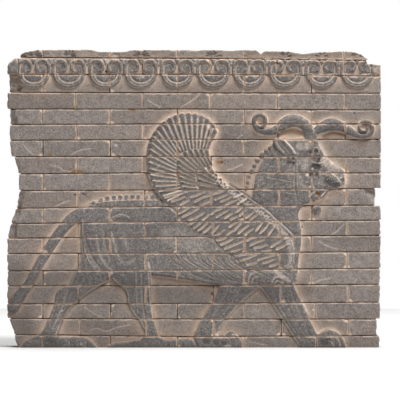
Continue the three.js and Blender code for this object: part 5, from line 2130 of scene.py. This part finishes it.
class Recipe:
    """A material under construction, with short calls for the nodes that the finishes share."""

    def __init__(self, name: str) -> None:
        """Starts a material with an empty shader.

        Args:
            name: the material's name.
        """
        self.material = bpy.data.materials.new(name)
        self.material.use_nodes = True
        self.nodes = self.material.node_tree.nodes
        self.links = self.material.node_tree.links
        self.shader = self.nodes["Principled BSDF"]
        self.place = self.nodes.new("ShaderNodeTexCoord").outputs["Object"]

    def join(self, value: object, socket: bpy.types.NodeSocket) -> None:
        """Sets a socket to a number or colour, or links another socket to it.

        Args:
            value: what goes in.
            socket: the socket.
        """
        if isinstance(value, bpy.types.NodeSocket):
            self.links.new(value, socket)
        elif isinstance(value, tuple):
            socket.default_value = (*value, 1.0)
        else:
            socket.default_value = value

    def attribute(self, name: str) -> bpy.types.NodeSocket:
        """Reads one of the mesh's values."""
        node = self.nodes.new("ShaderNodeAttribute")
        node.attribute_name = name
        return node.outputs["Fac"]

    def noise(self, scale: float, detail: float = 4.0, rough: float = 0.6) -> bpy.types.NodeSocket:
        """Noise over the object.

        Args:
            scale: repeats in a metre.
            detail: how many finer layers it has.
            rough: how strong they are.

        Returns:
            The noise, around 0.5.
        """
        node = self.nodes.new("ShaderNodeTexNoise")
        node.inputs["Scale"].default_value = scale
        node.inputs["Detail"].default_value = detail
        node.inputs["Roughness"].default_value = rough
        self.join(self.place, node.inputs["Vector"])
        return node.outputs["Fac"]

    def sum(self, operation: str, a: object, b: object, clamp: bool = False) -> bpy.types.NodeSocket:
        """One step of arithmetic.

        Args:
            operation: which.
            a: the first value.
            b: the second value.
            clamp: whether the result stays between 0 and 1.

        Returns:
            The result.
        """
        node = self.nodes.new("ShaderNodeMath")
        node.operation = operation
        node.use_clamp = clamp
        self.join(a, node.inputs[0])
        self.join(b, node.inputs[1])
        return node.outputs[0]

    def range(self, value: object, low: float, high: float, to_low: float = 0.0,
              to_high: float = 1.0) -> object:
        """Stretches a value from one range to another and stops at its ends.

        Args:
            value: the value.
            low: start of its range.
            high: end of its range.
            to_low: start of the new range.
            to_high: end of the new range.

        Returns:
            The new value.
        """
        node = self.nodes.new("ShaderNodeMapRange")
        self.join(value, node.inputs["Value"])
        for name, number in (("From Min", low), ("From Max", high), ("To Min", to_low), ("To Max", to_high)):
            node.inputs[name].default_value = number
        return node.outputs["Result"]

    def mix(self, share: object, a: object, b: object, blend: str = "MIX") -> bpy.types.NodeSocket:
        """Mixes two colours.

        Args:
            share: how much of the second.
            a: the first colour.
            b: the second colour.
            blend: how they mix.

        Returns:
            The mixed colour.
        """
        node = self.nodes.new("ShaderNodeMix")
        node.data_type = "RGBA"
        node.blend_type = blend
        self.join(share, node.inputs["Factor"])
        self.join(a, node.inputs[6])
        self.join(b, node.inputs[7])
        return node.outputs[2]

    def coat(
        self, body: object, name: str, noise: object, limits: tuple, colour: Colour, clamp: bool = False,
    ) -> bpy.types.NodeSocket:
        """Lays a colour over the body where one of the mesh's values says so, broken up by noise.

        Args:
            body: the colour under it.
            name: the mesh's value.
            noise: the noise.
            limits: the noise's range, and what it becomes.
            colour: the colour on top.
            clamp: whether its strength stops at 1.

        Returns:
            The mixed colour.
        """
        share = self.sum("MULTIPLY", self.attribute(name), self.range(noise, *limits), clamp)
        return self.mix(share, body, colour)

    def bump(self, height: bpy.types.NodeSocket, distance: float, strength: float = 1.0) -> None:
        """Roughens the shading.

        Args:
            height: the bump's height from 0 to 1.
            distance: how many metres that is.
            strength: how strongly it shows.
        """
        node = self.nodes.new("ShaderNodeBump")
        node.inputs["Strength"].default_value = strength
        node.inputs["Distance"].default_value = distance
        self.join(height, node.inputs["Height"])
        self.join(node.outputs["Normal"], self.shader.inputs["Normal"])

    def finish(self, colour: object, roughness: float, specular: float) -> bpy.types.Material:
        """Sets the shader's own values.

        Args:
            colour: the base colour.
            roughness: its roughness.
            specular: its specular level.

        Returns:
            The material.
        """
        self.join(colour, self.shader.inputs["Base Color"])
        self.shader.inputs["Roughness"].default_value = roughness
        self.shader.inputs["Specular IOR Level"].default_value = specular
        return self.material


@dataclass(frozen=True)
class BrickFinish:
    """Unglazed fired brick: grey-brown and grainy, darker on the relief, dusted where earth still clings,
    and carrying the painted shade, shadow and highlights of the mesh's marks.
    """

    dark: Colour = (0.135, 0.115, 0.103)
    middle: Colour = (0.235, 0.203, 0.184)
    light: Colour = (0.390, 0.340, 0.305)
    red: Colour = (0.270, 0.190, 0.150)
    relief_shade: Colour = (0.124, 0.123, 0.124)
    glow: Colour = (0.440, 0.318, 0.238)
    dust: Colour = (0.920, 0.735, 0.600)
    pale: Colour = (0.820, 0.690, 0.590)
    earth_and_shade: Colour = (0.300, 0.165, 0.075)
    stain_and_shade: Colour = (0.050, 0.045, 0.045)
    roughness: float = 0.92
    specular: float = 0.25

    def material(self) -> bpy.types.Material:
        """Mixes the material.

        Returns:
            The material.
        """
        recipe = Recipe("fired_brick")
        broad = recipe.noise(9.0, 5.0, 0.62)
        cloud = recipe.noise(34.0, 6.0, 0.68)
        grain = recipe.noise(120.0, 6.0, 0.78)
        speck = recipe.noise(620.0, 2.0, 0.5)
        body = recipe.mix(recipe.range(cloud, 0.36, 0.66), self.dark, self.light)
        body = recipe.mix(recipe.range(broad, 0.35, 0.65, 0.25, 0.75), body, self.middle)
        body = recipe.mix(recipe.range(recipe.attribute("warmth"), 0.45, 1.0, 0.0, 0.25), body, self.red)
        raised = recipe.sum("MULTIPLY", recipe.attribute("raised"), 0.80)
        body = recipe.mix(raised, body, self.relief_shade)
        body = recipe.mix(recipe.range(grain, 0.48, 0.62, 0.0, 0.75), body, self.light)
        body = recipe.mix(recipe.range(grain, 0.48, 0.36, 0.0, 0.72), body, self.dark)
        shade = recipe.range(recipe.attribute("tone"), -1.0, 1.0, 0.88, 1.12)
        body = recipe.mix(1.0, body, shade, "MULTIPLY")
        body = recipe.coat(body, "crest", cloud, (0.30, 0.70, 0.10, 0.55), self.light)
        body = recipe.coat(body, "worn", grain, (0.30, 0.62, 0.45, 1.0), self.light)
        body = recipe.coat(body, "glow", cloud, (0.30, 0.70, 0.52, 0.95), self.glow)
        body = recipe.coat(body, "dust", grain, (0.25, 0.65, 0.50, 1.15), self.dust, True)
        body = recipe.coat(body, "pale", grain, (0.28, 0.58, 0.35, 1.1), self.pale, True)
        # brown coat: rust and clinging clay, and the brown painted shadow under the horns, the belly and the
        # chin
        body = recipe.mix(recipe.attribute("earth_and_shade"), body, self.earth_and_shade)
        # near-black coat: stains, and the painted shade in hollows, grooves and on slopes that face away
        # from the light
        body = recipe.coat(body, "stain_and_shade", cloud, (0.30, 0.60, 0.75, 1.0), self.stain_and_shade, True)
        body = recipe.mix(recipe.range(speck, 0.70, 0.80, 0.0, 0.5), body, self.pale)
        height = recipe.sum("ADD", recipe.sum("MULTIPLY", cloud, 0.8), recipe.sum("MULTIPLY", grain, 0.55))
        recipe.bump(recipe.sum("ADD", height, recipe.sum("MULTIPLY", speck, 0.15)), 0.007, 0.9)
        return recipe.finish(body, self.roughness, self.specular)


@dataclass(frozen=True)
class MortarFinish:
    """Lime mortar: peach where it is bright and clean, earth brown where it lies deep."""

    bright: Colour = (0.620, 0.440, 0.320)
    tan: Colour = (0.450, 0.310, 0.220)
    earth_and_shade: Colour = (0.095, 0.058, 0.040)
    roughness: float = 0.95
    specular: float = 0.15

    def material(self) -> bpy.types.Material:
        """Mixes the material.

        Returns:
            The material.
        """
        recipe = Recipe("lime_mortar")
        cloud = recipe.noise(30.0, 5.0, 0.65)
        grain = recipe.noise(330.0, 4.0, 0.7)
        body = recipe.mix(recipe.range(cloud, 0.35, 0.65), self.tan, self.bright)
        body = recipe.mix(recipe.range(grain, 0.45, 0.70, 0.0, 0.4), body, self.earth_and_shade)
        depth = recipe.sum("ADD", recipe.attribute("stain_and_shade"), recipe.range(cloud, 0.3, 0.7, -0.2, 0.2), True)
        body = recipe.mix(depth, body, self.earth_and_shade)
        recipe.bump(recipe.sum("ADD", cloud, grain), 0.004, 0.9)
        return recipe.finish(body, self.roughness, self.specular)


@dataclass(frozen=True)
class PaperFinish:
    """Matt white paper of the floor."""

    colour: Colour = (0.72, 0.72, 0.72)
    roughness: float = 0.9

    def material(self) -> bpy.types.Material:
        """Mixes the material.

        Returns:
            The material.
        """
        recipe = Recipe("studio_paper")
        fibre = recipe.noise(60.0, 3.0, 0.5)
        body = recipe.mix(recipe.range(fibre, 0.3, 0.7, 0.0, 0.04), self.colour, (0.65, 0.65, 0.65))
        return recipe.finish(body, self.roughness, 0.2)


@dataclass(frozen=True)
class SkyFinish:
    """Plain white glow of the surroundings."""

    strength: float = 1.0

    def material(self) -> bpy.types.Material:
        """Mixes the material.

        Returns:
            The material.
        """
        material = bpy.data.materials.new("studio_sky")
        material.use_nodes = True
        tree = material.node_tree
        tree.nodes.clear()
        glow = tree.nodes.new("ShaderNodeEmission")
        glow.inputs["Strength"].default_value = self.strength
        output = tree.nodes.new("ShaderNodeOutputMaterial")
        tree.links.new(glow.outputs["Emission"], output.inputs["Surface"])
        return material


@dataclass
class Studio:
    """Floor, surroundings, lights and camera."""

    floor_radius: float = 4.4
    sky_radius: float = 30.0
    camera_place: tuple[float, float, float] = (0.0300, -12.0, 0.7375)
    seen_width: float = 2.0
    sensor: float = 36.0
    far_clip: float = 60.0
    world_strength: float = 0.08
    lamps: tuple[tuple[str, float, float, Station, Station], ...] = (
        ("key_light", 790.0, 2.6, (2.3, -3.4, 7.6), (0.0, 0.0, 0.6)),
        ("fill_light", 4.0, 3.0, (-3.4, -4.0, 1.6), (0.0, 0.0, 0.7)),
        ("back_light", 510.0, 4.0, (0.0, 1.4, 7.0), (0.0, 4.2, 0.5)),
    )

    def staged(self, name: str, shape: bmesh.types.BMesh, finish: bpy.types.Material) -> bpy.types.Object:
        """Puts a shape of the studio into the scene.

        Args:
            name: its name.
            shape: its mesh.
            finish: its material.

        Returns:
            The object.
        """
        data = bpy.data.meshes.new(name)
        shape.to_mesh(data)
        shape.free()
        data.materials.append(finish)
        thing = bpy.data.objects.new(name, data)
        bpy.context.scene.collection.objects.link(thing)
        return thing

    def floor(self) -> None:
        """Lays the round floor."""
        disc = bmesh.new()
        bmesh.ops.create_circle(disc, cap_ends=True, segments=96, radius=self.floor_radius)
        self.staged("studio_floor", disc, PaperFinish().material())

    def sky(self) -> None:
        """Hangs the white dome all round, which the camera sees and which lights nothing."""
        ball = bmesh.new()
        bmesh.ops.create_icosphere(ball, subdivisions=4, radius=self.sky_radius)
        dome = self.staged("studio_sky", ball, SkyFinish().material())
        dome.visible_diffuse = dome.visible_glossy = dome.visible_transmission = False
        dome.visible_volume_scatter = dome.visible_shadow = False

    def lamp(self, name: str, power: float, size: float, place: tuple, aim: tuple) -> None:
        """A square soft light.

        Args:
            name: its name.
            power: its power in watts.
            size: its side in metres.
            place: where it stands.
            aim: where it points.
        """
        data = bpy.data.lights.new(name, "AREA")
        data.energy = power
        data.size = size
        lamp = bpy.data.objects.new(name, data)
        lamp.location = place
        away = np.array(place, float) - np.array(aim, float)
        lamp.rotation_euler = (
            math.atan2(math.hypot(away[0], away[1]), away[2]), 0.0, math.atan2(away[0], -away[1]),
        )
        bpy.context.scene.collection.objects.link(lamp)

    def build(self) -> None:
        """Sets up the studio."""
        self.floor()
        self.sky()
        for lamp in self.lamps:
            self.lamp(*lamp)
        world = bpy.data.worlds.new("studio_light")
        world.use_nodes = True
        background = world.node_tree.nodes["Background"]
        background.inputs["Color"].default_value = (1.0, 1.0, 1.0, 1.0)
        background.inputs["Strength"].default_value = self.world_strength
        scene = bpy.context.scene
        scene.world = world
        scene.view_settings.view_transform = "Standard"
        data = bpy.data.cameras.new("camera")
        data.sensor_width = self.sensor
        distance = FACE * MM - self.camera_place[1]
        data.lens = self.sensor * distance / self.seen_width
        data.clip_end = self.far_clip
        camera = bpy.data.objects.new("camera", data)
        camera.location = self.camera_place
        camera.rotation_euler = (math.pi / 2, 0.0, 0.0)
        scene.collection.objects.link(camera)
        scene.camera = camera


def carve_relief() -> Carving:
    """Carves the whole relief.

    Returns:
        The carved fields.
    """
    carving = Carving()
    for part in (HindQuarters(), ForeQuarters(), Trunk(), Head(), Horns(), Wing(), Frieze(), Weathering()):
        part.carve(carving)
        log.info("carved %s", type(part).__name__)
    return carving


def attach(piece: bpy.types.Object, node: str) -> None:
    """Puts a piece in the place of its node.

    Args:
        piece: the piece.
        node: the node that it stands for.
    """
    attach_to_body(piece, "root")
    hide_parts(node)
    log.info("%s: %d faces", piece.name, len(piece.data.polygons))


def main() -> None:
    """Builds the panel and the studio."""
    logging.basicConfig(level=logging.INFO, format="%(message)s")
    Studio().build()
    brick, mortar = BrickFinish().material(), MortarFinish().material()
    bond = Bond()
    masonry = Masonry(carve_relief(), bond)
    for index in range(len(bond.names)):
        attach(masonry.course(index, [brick, mortar]), bond.node(index))
    for index in range(len(bond.seams)):
        attach(masonry.bed(index, mortar), f"mortar_bed_{index + 1:02d}")


if __name__ == "__main__":
    main()
